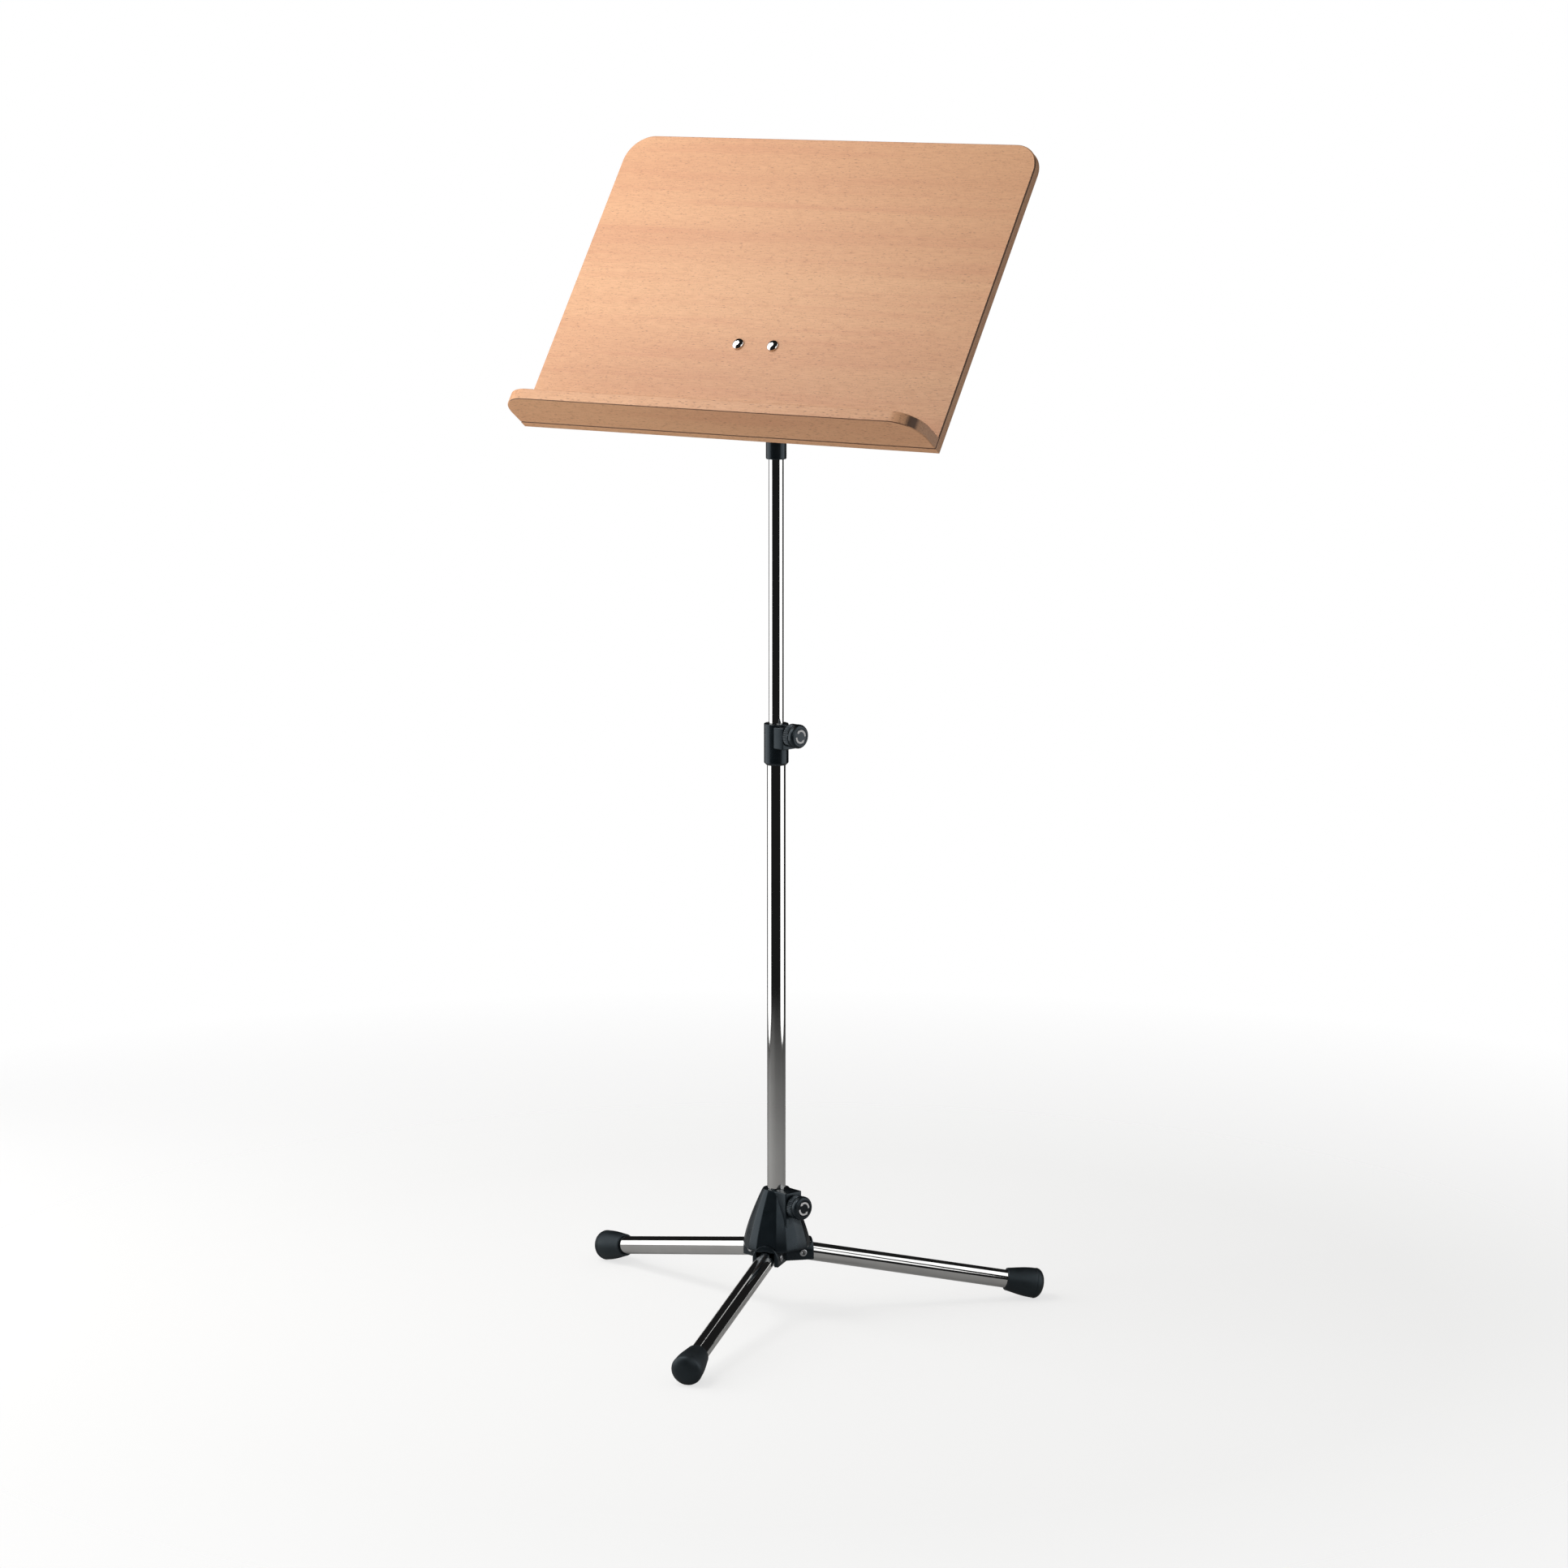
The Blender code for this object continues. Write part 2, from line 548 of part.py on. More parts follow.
# ---------------------------------------------------------------- clamp knobs
def add_clamp(prefix, height, azimuth, boss_reach, insert_start, tube_radius, knob_start,
              materials, stand):
    """A clamp knob with its cap, screw, pressure pad and brass insert."""
    frame = add_empty("axis_" + prefix + "_knob", (0.0, 0.0, height),
                      clamp_rotation(azimuth), stand)
    plastic = materials["black_plastic"]
    end = knob_start + KNOB_LENGTH
    grip_end = knob_start + KNOB_GRIP_LENGTH
    grip_radius = KNOB_RADIUS - 0.0005
    screw_end = knob_start + CLAMP_SCREW_DEPTH
    screw_bore = CLAMP_SCREW_RADIUS + GAP
    recess = end - KNOB_CAP_THICKNESS - GAP
    face = KNOB_CAP_RADIUS + GAP
    round_start = end - 0.0035
    outline = [(0.0, screw_end + GAP), (screw_bore, screw_end + GAP), (screw_bore, knob_start),
               (grip_radius - 0.001, knob_start), (grip_radius, knob_start + 0.001),
               (grip_radius, grip_end - 0.0003), (KNOB_RADIUS, grip_end + 0.0002),
               (KNOB_RADIUS, round_start)]
    face_edge = face + 0.0008
    for step in range(1, 5):
        angle = math.pi / 2 * step / 4
        outline.append((face_edge + (KNOB_RADIUS - face_edge) * math.cos(angle),
                        round_start + (end - round_start) * math.sin(angle)))
    outline += [(face, end), (face, recess), (0.0, recess)]
    add_object(prefix + "_knob", turned(outline, ROUND), plastic, frame)

    rim = 0.0003
    add_object(prefix + "_knob_cap", turned([
        (0.0, recess + GAP), (KNOB_CAP_RADIUS, recess + GAP), (KNOB_CAP_RADIUS, end - rim),
        (KNOB_CAP_RADIUS - rim, end), (0.0, end)], ROUND), plastic, frame)

    pad_start = tube_radius + GAP
    pad_end = pad_start + PAD_THICKNESS
    tip = pad_end + GAP
    add_object(prefix + "_clamp_screw", turned([
        (0.0, tip), (CLAMP_SCREW_RADIUS - 0.0008, tip), (CLAMP_SCREW_RADIUS, tip + 0.0008),
        (CLAMP_SCREW_RADIUS, screw_end), (0.0, screw_end)], SMALL_ROUND),
        materials["zinc_steel"], frame)
    add_object(prefix + "_pressure_pad", turned([
        (0.0, pad_start), (PAD_RADIUS - 0.0004, pad_start), (PAD_RADIUS, pad_start + 0.0004),
        (PAD_RADIUS, pad_end), (0.0, pad_end)], SMALL_ROUND), materials["white_nylon"], frame)
    add_object(prefix + "_screw_insert",
               ring_bar(screw_bore, INSERT_RADIUS, insert_start + GAP, boss_reach, SMALL_ROUND,
                        0.0004),
               materials["brass"], frame)


# ---------------------------------------------------------------- mast
def add_lower_mast(materials, stand):
    """Lower tube with its end plug, and the clamp collar with its guide bush."""
    flange_bottom = HUB_BOTTOM + HUB_LIP + GAP
    flange_top = flange_bottom + PLUG_FLANGE
    tube_bottom = flange_top + GAP
    tube_bore = LOWER_TUBE_RADIUS - LOWER_TUBE_WALL
    add_object("lower_tube",
               ring_bar(tube_bore, LOWER_TUBE_RADIUS, tube_bottom, LOWER_TUBE_TOP, ROUND),
               materials["chrome"], stand)

    shank = tube_bore - GAP
    flange = LOWER_TUBE_RADIUS - 0.0002
    nose_top = HUB_BOTTOM - 0.0022
    nose_bottom = HUB_BOTTOM - 0.0085
    nose = LOWER_TUBE_RADIUS * 0.52
    chamfer = 0.0008
    lip_shank = LOWER_TUBE_RADIUS - HUB_LIP_OVERLAP - GAP
    shank_top = tube_bottom + 0.0180
    add_object("lower_tube_plug", turned([
        (0.0, nose_bottom), (nose - chamfer, nose_bottom), (nose, nose_bottom + chamfer),
        (nose, nose_bottom + 0.0034), (lip_shank, nose_top), (lip_shank, flange_bottom),
        (flange, flange_bottom), (flange, flange_top), (shank, flange_top),
        (shank, shank_top - chamfer), (shank - chamfer, shank_top), (0.0, shank_top)],
        SMALL_ROUND), materials["black_plastic"], stand)

    sleeve_bore = LOWER_TUBE_RADIUS + GAP
    lip_bore = UPPER_TUBE_RADIUS + 2 * GAP
    cone = 0.0024
    bevel = 0.0008
    collar = add_object("clamp_collar", turned([
        (0.0, COLLAR_BOTTOM), (sleeve_bore + GAP, COLLAR_BOTTOM),
        (COLLAR_RADIUS, COLLAR_BOTTOM + cone), (COLLAR_RADIUS, COLLAR_TOP - bevel),
        (COLLAR_RADIUS - bevel, COLLAR_TOP), (0.0, COLLAR_TOP)], ROUND),
        materials["black_plastic"], stand)
    boss_half = COLLAR_BOSS_WIDTH / 2
    boss = add_object("helper_collar_boss", block(
        (0.0, -boss_half, COLLAR_BOSS_BOTTOM), (COLLAR_BOSS_REACH, boss_half, COLLAR_BOSS_TOP)),
        None, stand, rotation=(0.0, 0.0, HEIGHT_KNOB_AZIMUTH))
    boss_round = 0.0012
    add_bevel(boss, boss_round)
    combine(collar, boss, "UNION")
    lip_start = COLLAR_TOP - COLLAR_LIP
    sleeve = add_object("helper_collar_bore", turned([
        (0.0, COLLAR_BOTTOM - MARGIN), (sleeve_bore, COLLAR_BOTTOM - MARGIN),
        (sleeve_bore, lip_start), (lip_bore, lip_start), (lip_bore, COLLAR_TOP + MARGIN),
        (0.0, COLLAR_TOP + MARGIN)], ROUND),
        None, stand)
    combine(collar, sleeve, "DIFFERENCE")
    screw_hole = add_object("helper_height_screw_hole", stepped_hole(
        UPPER_TUBE_RADIUS - 0.001, COLLAR_RADIUS, COLLAR_BOSS_REACH), None, stand,
        (0.0, 0.0, HEIGHT_KNOB_Z), clamp_rotation(HEIGHT_KNOB_AZIMUTH))
    combine(collar, screw_hole, "DIFFERENCE")

    bush = add_object("guide_bush", ring_bar(
        UPPER_TUBE_RADIUS + GAP, LOWER_TUBE_RADIUS, LOWER_TUBE_TOP + GAP, lip_start - GAP, ROUND),
        materials["white_nylon"], stand)
    pad_hole = add_object("helper_bush_hole",
                          round_bar(PAD_RADIUS + GAP, 0.0, LOWER_TUBE_RADIUS + MARGIN), None,
                          stand, (0.0, 0.0, HEIGHT_KNOB_Z), clamp_rotation(HEIGHT_KNOB_AZIMUTH))
    combine(bush, pad_hole, "DIFFERENCE")


def add_upper_mast(materials, stand):
    """Sliding upper tube on its nylon slide plug."""
    bore = UPPER_TUBE_RADIUS - UPPER_TUBE_WALL
    slide_radius = LOWER_TUBE_RADIUS - LOWER_TUBE_WALL - GAP
    tube_top = SOCKET_BOTTOM + SOCKET_DEPTH
    add_object("upper_tube", ring_bar(bore, UPPER_TUBE_RADIUS, UPPER_TUBE_BOTTOM, tube_top, ROUND),
               materials["chrome"], stand)
    shoulder = UPPER_TUBE_BOTTOM - GAP
    bottom = shoulder - SLIDE_PLUG_HEIGHT
    shank = bore - GAP
    shank_top = shoulder + 2 * SLIDE_PLUG_HEIGHT
    chamfer = 0.0008
    add_object("slide_plug", turned([
        (0.0, bottom), (slide_radius - chamfer, bottom), (slide_radius, bottom + chamfer),
        (slide_radius, shoulder), (shank, shoulder), (shank, shank_top - chamfer),
        (shank - chamfer, shank_top), (0.0, shank_top)], ROUND),
        materials["white_nylon"], stand)


# ---------------------------------------------------------------- tilt head
def add_tilt_head(materials, stand):
    """Socket that turns on the upper tube, with the lug that carries the desk's bracket."""
    bevel = 0.0012
    head = add_object("tilt_head", turned([
        (0.0, SOCKET_BOTTOM), (SOCKET_RADIUS - bevel, SOCKET_BOTTOM),
        (SOCKET_RADIUS, SOCKET_BOTTOM + bevel), (SOCKET_RADIUS, SOCKET_TOP - bevel),
        (SOCKET_RADIUS - bevel, SOCKET_TOP), (0.0, SOCKET_TOP)], ROUND),
        materials["black_plastic"], stand)
    half = LUG_THICKNESS / 2
    arch = [(LUG_RADIUS * math.cos(a), TILT_HEIGHT + LUG_RADIUS * math.sin(a))
            for a in (math.pi * step / 14 for step in range(15))]
    lug_bottom = SOCKET_TOP - 0.010
    lug_neck = SOCKET_TOP + 0.004
    root = SOCKET_RADIUS * 0.7
    lug_outline = [(root, lug_bottom), (LUG_RADIUS, lug_neck)] + arch
    lug_outline += [(-LUG_RADIUS, lug_neck), (-root, lug_bottom)]
    lug = add_object("helper_lug", prism(lug_outline, -half, LUG_THICKNESS, "YZ"), None, stand)
    combine(head, lug, "UNION")
    tube_hole = add_object("helper_socket", round_bar(
        UPPER_TUBE_RADIUS + GAP, SOCKET_BOTTOM - MARGIN, SOCKET_BOTTOM + SOCKET_DEPTH + GAP,
        ROUND), None, stand)
    combine(head, tube_hole, "DIFFERENCE")
    bolt_hole = add_object("helper_lug_hole", round_bar(
        TILT_BOLT_RADIUS + GAP, -LUG_THICKNESS, LUG_THICKNESS), None, stand,
        (0.0, 0.0, TILT_HEIGHT), ALONG_X)
    combine(head, bolt_hole, "DIFFERENCE")
    add_lock_screw(head, materials["zinc_steel"], stand)


def add_lock_screw(head, steel, stand):
    """Grub screw in the back of the socket, which sets how stiffly the desk swivels."""
    place = (0.0, 0.0, SOCKET_BOTTOM + LOCK_SCREW_HEIGHT)
    screw_hole = add_object("helper_lock_screw_hole", round_bar(
        LOCK_SCREW_RADIUS + GAP, UPPER_TUBE_RADIUS - MARGIN / 2, SOCKET_RADIUS + MARGIN), None,
        stand, place, ALONG_Y)
    combine(head, screw_hole, "DIFFERENCE")
    start = UPPER_TUBE_RADIUS + GAP
    end = SOCKET_RADIUS - GAP
    key_floor = start + 0.0010
    chamfer = 0.0003
    add_object("head_lock_screw", turned([
        (0.0, start), (LOCK_SCREW_RADIUS - chamfer, start), (LOCK_SCREW_RADIUS, start + chamfer),
        (LOCK_SCREW_RADIUS, end - chamfer), (LOCK_SCREW_RADIUS - chamfer, end),
        (LOCK_SCREW_KEY_RADIUS, end), (LOCK_SCREW_KEY_RADIUS, key_floor), (0.0, key_floor)],
        SMALL_ROUND), steel, stand, place, ALONG_Y)


def bolt_places():
    """Side and X place of the two bolts that hold the bracket."""
    return (("left", -BOLT_SPACING / 2), ("right", BOLT_SPACING / 2))


def add_bolt_hole(name, place, desk):
    """Helper for a bolt's hole, long enough for board, bracket and nut."""
    length = DESK_STANDOFF + DESK_THICKNESS + MARGIN
    return add_object("helper_hole_" + name, round_bar(BOLT_RADIUS + GAP, -length, 0.0), None, desk,
                      (place, 0.0, 0.0), ALONG_Y)


def ear_places():
    """Inner and outer faces of the bracket's right ear, along X."""
    inner = LUG_THICKNESS / 2 + GAP + TILT_WASHER_THICKNESS + GAP
    return inner, inner + BRACKET_THICKNESS


def add_bracket(materials, desk):
    """U-shaped steel bracket bolted to the board's back."""
    seat = -DESK_STANDOFF + GAP
    half_width = BRACKET_WIDTH / 2
    half_height = BRACKET_HEIGHT / 2
    radius = BRACKET_CORNER_RADIUS
    corners = [(-half_width, -half_height, radius), (half_width, -half_height, radius),
               (half_width, half_height, radius), (-half_width, half_height, radius)]
    bracket = add_object("desk_bracket", prism(rounded_outline(corners, 4), seat,
                                               BRACKET_THICKNESS, "XZ"),
                         materials["black_steel"], desk)
    for side, place in bolt_places():
        combine(bracket, add_bolt_hole("bracket_" + side, place, desk), "DIFFERENCE")
    inner, outer = ear_places()
    arc = [(LUG_RADIUS * math.cos(a), LUG_RADIUS * math.sin(a))
           for a in (math.pi * (step / 12 - 0.5) for step in range(13))]
    foot = seat + BRACKET_THICKNESS / 2
    root = half_height - 0.002
    ear_outline = [(foot, -root)] + arc + [(foot, root)]
    for side, start in (("right", inner), ("left", -outer)):
        ear = add_object("helper_ear_" + side, prism(ear_outline, start, BRACKET_THICKNESS, "YZ"),
                         None, desk)
        combine(bracket, ear, "UNION")
    pivot_hole = add_object("helper_ear_hole", round_bar(
        TILT_BOLT_RADIUS + GAP, -outer - MARGIN, outer + MARGIN), None, desk, rotation=ALONG_X)
    combine(bracket, pivot_hole, "DIFFERENCE")


def add_tilt_bolt(materials, desk):
    """Bolt through bracket and lug, friction washers, thrust washer and star knob."""
    inner, outer = ear_places()
    steel = materials["zinc_steel"]
    head_inner = -outer - GAP
    head_outer = head_inner - TILT_BOLT_HEAD_HEIGHT
    knob_start = outer + GAP + TILT_WASHER_THICKNESS + GAP
    bolt_end = knob_start + TILT_KNOB_LENGTH - TILT_KNOB_FACE
    chamfer = 0.0008
    bm = prism(regular_outline(TILT_BOLT_HEAD_RADIUS, 6), head_outer, TILT_BOLT_HEAD_HEIGHT, "YZ")
    bolt = add_object("tilt_bolt", bm, steel, desk)
    shank_start = head_inner - TILT_BOLT_HEAD_HEIGHT / 2
    shank = add_object("helper_tilt_shank", turned([
        (0.0, shank_start), (TILT_BOLT_RADIUS, shank_start),
        (TILT_BOLT_RADIUS, bolt_end - chamfer), (TILT_BOLT_RADIUS - chamfer, bolt_end),
        (0.0, bolt_end)], SMALL_ROUND), None, desk, rotation=ALONG_X)
    combine(bolt, shank, "UNION")

    hole = TILT_BOLT_RADIUS + GAP
    for side, start in (("right", LUG_THICKNESS / 2 + GAP),
                        ("left", -LUG_THICKNESS / 2 - GAP - TILT_WASHER_THICKNESS)):
        add_object("friction_washer_" + side,
                   ring_bar(hole, LUG_RADIUS - 0.0005, start, start + TILT_WASHER_THICKNESS,
                            SMALL_ROUND),
                   materials["white_nylon"], desk, rotation=ALONG_X)
    add_object("tilt_thrust_washer",
               ring_bar(hole, TILT_WASHER_RADIUS, outer + GAP, outer + GAP + TILT_WASHER_THICKNESS,
                        SMALL_ROUND),
               steel, desk, rotation=ALONG_X)
    add_star_knob(materials["black_plastic"], desk, knob_start, bolt_end)


def add_star_knob(material, desk, start, bolt_end):
    """Star knob on the tilt bolt: a round neck and a lobed grip."""
    neck_end = start + TILT_KNOB_NECK
    end = start + TILT_KNOB_LENGTH
    sides = 8 * TILT_KNOB_LOBES
    outline = []
    for side in range(sides):
        angle = math.tau * side / sides
        wave = (1 - math.cos(TILT_KNOB_LOBES * angle)) / 2
        radius = TILT_KNOB_RADIUS - TILT_KNOB_LOBE_DEPTH * wave
        outline.append((radius * math.cos(angle), radius * math.sin(angle)))
    bm = bmesh.new()
    levels = [(0.90, neck_end), (1.0, neck_end + 0.002), (1.0, end - 0.003), (0.86, end)]
    rings = []
    for scale, height in levels:
        rings.append([bm.verts.new((x * scale, y * scale, height)) for x, y in outline])
    for lower, upper in zip(rings, rings[1:]):
        for side in range(sides):
            following = (side + 1) % sides
            bm.faces.new((lower[side], lower[following], upper[following], upper[side]))
    bm.faces.new(rings[0])
    bm.faces.new(rings[-1])
    knob = add_object("tilt_knob", bm, material, desk, rotation=ALONG_X)
    neck = add_object("helper_knob_neck", round_bar(TILT_WASHER_RADIUS, start, neck_end + 0.003),
                      None, desk, rotation=ALONG_X)
    combine(knob, neck, "UNION")
    bore = add_object("helper_knob_bore", round_bar(
        TILT_BOLT_RADIUS + GAP, start - MARGIN, bolt_end + 0.0010), None, desk, rotation=ALONG_X)
    combine(knob, bore, "DIFFERENCE")


# ---------------------------------------------------------------- desk
def add_desk(materials, desk):
    """Board and ledge, with the bolts and screws that hold them."""
    bottom = -DESK_DROP
    top = bottom + DESK_HEIGHT
    half = DESK_WIDTH / 2
    front = -DESK_STANDOFF - DESK_THICKNESS
    board_corners = [(-half, bottom, 0.0), (half, bottom, 0.0), (half, top, DESK_CORNER_RADIUS),
                     (-half, top, DESK_CORNER_RADIUS)]
    board = add_object("desk_board", prism(rounded_outline(board_corners, 10), front,
                                           DESK_THICKNESS, "XZ"), materials["beech"], desk)
    add_bevel(board, EDGE_ROUND)
    ledge_back = front - GAP
    ledge_front = ledge_back - LEDGE_DEPTH
    ledge_corners = [(-half, ledge_back, 0.0), (-half, ledge_front, LEDGE_CORNER_RADIUS),
                     (half, ledge_front, LEDGE_CORNER_RADIUS), (half, ledge_back, 0.0)]
    ledge = add_object("desk_ledge", prism(rounded_outline(ledge_corners, 10), bottom,
                                           LEDGE_THICKNESS), materials["beech"], desk)
    add_bevel(ledge, EDGE_ROUND)

    add_bracket(materials, desk)
    for side, place in bolt_places():
        add_desk_bolt(side, place, front, board, materials["zinc_steel"], desk)
    outer_screw = half - LEDGE_SCREW_INSET
    places = [outer_screw * (2 * index / 3 - 1) for index in range(4)]
    for index, place in enumerate(places, start=1):
        add_ledge_screw(index, place, bottom + LEDGE_THICKNESS / 2, board, ledge,
                        materials["zinc_steel"], desk)


def add_desk_bolt(side, place, front, board, steel, desk):
    """Domed bolt through board and bracket, with its washer and nut."""
    seat = -DESK_STANDOFF + GAP + BRACKET_THICKNESS
    washer_start = seat + GAP
    nut_start = washer_start + WASHER_THICKNESS + GAP
    end = nut_start + NUT_HEIGHT + BOLT_OVERHANG
    combine(board, add_bolt_hole("board_" + side, place, desk), "DIFFERENCE")
    head_seat = front - GAP
    rim = 0.0004
    chamfer = 0.0006
    dome = [(0.0, head_seat - BOLT_HEAD_HEIGHT)]
    for step in range(1, 6):
        angle = math.pi / 2 * step / 6
        dome.append((BOLT_HEAD_RADIUS * math.sin(angle),
                     head_seat - rim - (BOLT_HEAD_HEIGHT - rim) * math.cos(angle)))
    profile = dome + [(BOLT_HEAD_RADIUS, head_seat - rim), (BOLT_HEAD_RADIUS - rim / 2, head_seat),
                      (BOLT_RADIUS, head_seat), (BOLT_RADIUS, end - chamfer),
                      (BOLT_RADIUS - chamfer, end), (0.0, end)]
    add_object("desk_bolt_" + side, turned(profile, SMALL_ROUND), steel, desk,
               (place, 0.0, 0.0), ALONG_Y)
    add_object("desk_washer_" + side, ring_bar(BOLT_RADIUS + GAP, WASHER_RADIUS, washer_start,
                                               washer_start + WASHER_THICKNESS, SMALL_ROUND),
               steel, desk, (place, 0.0, 0.0), ALONG_Y)
    nut = add_object("desk_nut_" + side, prism(regular_outline(NUT_RADIUS, 6, math.pi / 6),
                                               nut_start, NUT_HEIGHT, "XZ"),
                     steel, desk, (place, 0.0, 0.0))
    combine(nut, add_bolt_hole("nut_" + side, place, desk), "DIFFERENCE")


def add_ledge_screw(index, place, height, board, ledge, steel, desk):
    """Countersunk screw from the board's back into the ledge."""
    name = "ledge_screw_%d" % index
    head = -DESK_STANDOFF - GAP
    cone = LEDGE_SCREW_HEAD_RADIUS - LEDGE_SCREW_RADIUS
    tip = head - LEDGE_SCREW_LENGTH
    hole = LEDGE_SCREW_RADIUS + GAP
    hole_end = tip - 0.002
    point = 0.004
    rim = 0.0003
    cutter = add_object("helper_hole_" + name, turned([
        (0.0, hole_end), (hole, hole_end), (hole, head - cone - GAP),
        (LEDGE_SCREW_HEAD_RADIUS + GAP, head - GAP / 2),
        (LEDGE_SCREW_HEAD_RADIUS + GAP, head + MARGIN), (0.0, head + MARGIN)], SMALL_ROUND),
        None, desk, (place, 0.0, height), ALONG_Y)
    combine(board, cutter, "DIFFERENCE")
    combine(ledge, cutter, "DIFFERENCE")
    add_object(name, turned([
        (0.0, tip), (LEDGE_SCREW_RADIUS, tip + point), (LEDGE_SCREW_RADIUS, head - cone),
        (LEDGE_SCREW_HEAD_RADIUS, head - rim), (LEDGE_SCREW_HEAD_RADIUS, head), (0.0, head)],
        SMALL_ROUND), steel, desk, (place, 0.0, height), ALONG_Y)


def main():
    clear_scene()
    materials = make_materials()
    stand = add_empty("stand_axis", (MAST_X, MAST_Y, 0.0))
    add_hub(materials, stand)
    for side, azimuth in LEG_AZIMUTHS.items():
        add_leg(side, azimuth, materials, stand)
    add_clamp("base", BASE_KNOB_Z, math.radians(base_knob_azimuth()), HUB_BOSS_REACH,
              BASE_INSERT_START, LOWER_TUBE_RADIUS, BASE_KNOB_START, materials, stand)
    add_lower_mast(materials, stand)
    add_clamp("height", HEIGHT_KNOB_Z, HEIGHT_KNOB_AZIMUTH, COLLAR_BOSS_REACH, COLLAR_RADIUS,
              UPPER_TUBE_RADIUS, HEIGHT_KNOB_START, materials, stand)
    add_upper_mast(materials, stand)
    add_tilt_head(materials, stand)
    desk = add_empty("axis_tilt", (0.0, 0.0, TILT_HEIGHT), (-DESK_LEAN, 0.0, 0.0), stand)
    add_desk(materials, desk)
    add_tilt_bolt(materials, desk)


main()
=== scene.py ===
"""Looks of the music stand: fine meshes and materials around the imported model."""

import json
import math

import bmesh
import bpy
from mathutils import Matrix, Vector


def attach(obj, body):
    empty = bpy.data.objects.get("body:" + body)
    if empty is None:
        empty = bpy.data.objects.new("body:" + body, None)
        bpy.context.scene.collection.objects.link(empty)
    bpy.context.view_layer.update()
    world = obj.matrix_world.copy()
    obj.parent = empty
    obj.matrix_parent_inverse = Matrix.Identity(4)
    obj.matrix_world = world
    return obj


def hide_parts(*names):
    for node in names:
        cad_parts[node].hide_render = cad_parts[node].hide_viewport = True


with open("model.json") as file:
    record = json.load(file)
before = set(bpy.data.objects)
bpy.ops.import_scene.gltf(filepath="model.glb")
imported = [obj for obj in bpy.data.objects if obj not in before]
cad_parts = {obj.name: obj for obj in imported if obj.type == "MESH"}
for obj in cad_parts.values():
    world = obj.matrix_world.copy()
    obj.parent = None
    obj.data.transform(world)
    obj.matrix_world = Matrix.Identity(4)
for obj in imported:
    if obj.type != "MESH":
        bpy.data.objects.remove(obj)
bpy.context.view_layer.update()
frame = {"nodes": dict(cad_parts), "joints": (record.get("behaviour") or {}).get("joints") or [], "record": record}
NODES = frame["nodes"]
JOINTS = {joint["name"]: joint for joint in frame["joints"]}
MOUNTS = {mount["name"]: mount for mount in frame["record"]["mounts"]}
SIDES = ("right", "left", "front")

# ---------------- camera and light
CAMERA_DISTANCE = 5.0915        # from the mast, level
CAMERA_HEIGHT = 1.4556
CAMERA_AZIMUTH = 33.75          # towards the desk's right
CAMERA_PITCH = 9.7035
CAMERA_YAW = -0.093
CAMERA_LENS = 110.53            # millimetres, on this sensor
SENSOR_WIDTH = 36.0
WORLD_FILL = 0.30               # the surround's strength on matt surfaces
WORLD_MIRROR = 0.012            # and in reflections
FLOOR_RADIUS = 1.9

# ---------------- fineness
ROUND = 96                      # sides of a large round piece
SMALL_ROUND = 48                # sides of a small round piece
HOLE_ROUND = 32                 # sides of a small hole or screw
SHARP_ANGLE = math.radians(32)

# ---------------- sizes that pieces share
BOLT_HOLE = 0.0033              # radius, for the desk bolts and the leg rivets
SCREW_HOLE = 0.0043             # radius, for the tilt bolt and the knobs' screws
TUBE_BORE = 0.0103              # radius, around the lower tube
TUBE_LIP = 0.0086               # radius of the lip that stops the lower tube
INSERT_HOLE = 0.0048            # radius, for a clamp's screw and pad
INSERT_SEAT = 0.0068            # radius, for a clamp's brass insert
PAST = 0.01                     # how far a cutter passes the face that it opens


# ---------------- places from the frame
def basis(origin, x_axis, z_axis):
    """A frame with this origin, X along x_axis and Z as near z_axis as can be."""
    x = Vector(x_axis).normalized()
    y = Vector(z_axis).cross(x).normalized()
    z = x.cross(y)
    matrix = Matrix((x, y, z)).transposed().to_4x4()
    matrix.translation = Vector(origin)
    return matrix


def span(node, matrix, axis):
    """Lowest and highest place of a CAD node along one axis of a frame."""
    inverse = matrix.inverted()
    places = [(inverse @ vertex.co)[axis] for vertex in NODES[node].data.vertices]
    return min(places), max(places)


def middle_of(node, matrix, axis):
    """Middle place of a CAD node along one axis of a frame."""
    return sum(span(node, matrix, axis)) / 2


def box_of(node):
    """A desk piece's limits in the desk's frame: both ends along X, then Y, then Z."""
    return [place for axis in range(3) for place in span(node, DESK, axis)]


def radius_of(node, matrix, axis):
    """Half the size of a CAD node along one axis of a frame."""
    low, high = span(node, matrix, axis)
    return (high - low) / 2


def leg_frame(side):
    """A leg's frame: origin at its pivot, X out along the tube, Y along the pin."""
    joint = JOINTS["leg_fold_" + side]
    pivot = Vector(joint["pos_m"])
    across = Vector(joint["axis"])
    outward = across.cross(Vector((0, 0, 1)))
    end_depth = 0.006
    places = [vertex.co for vertex in NODES["leg_tube_" + side].data.vertices]
    farthest = max((place - pivot).dot(outward) for place in places)
    ring = [place for place in places if (place - pivot).dot(outward) > farthest - end_depth]
    end = sum(ring, Vector()) / len(ring)
    direction = end - pivot
    return basis(pivot, direction, direction.cross(across))


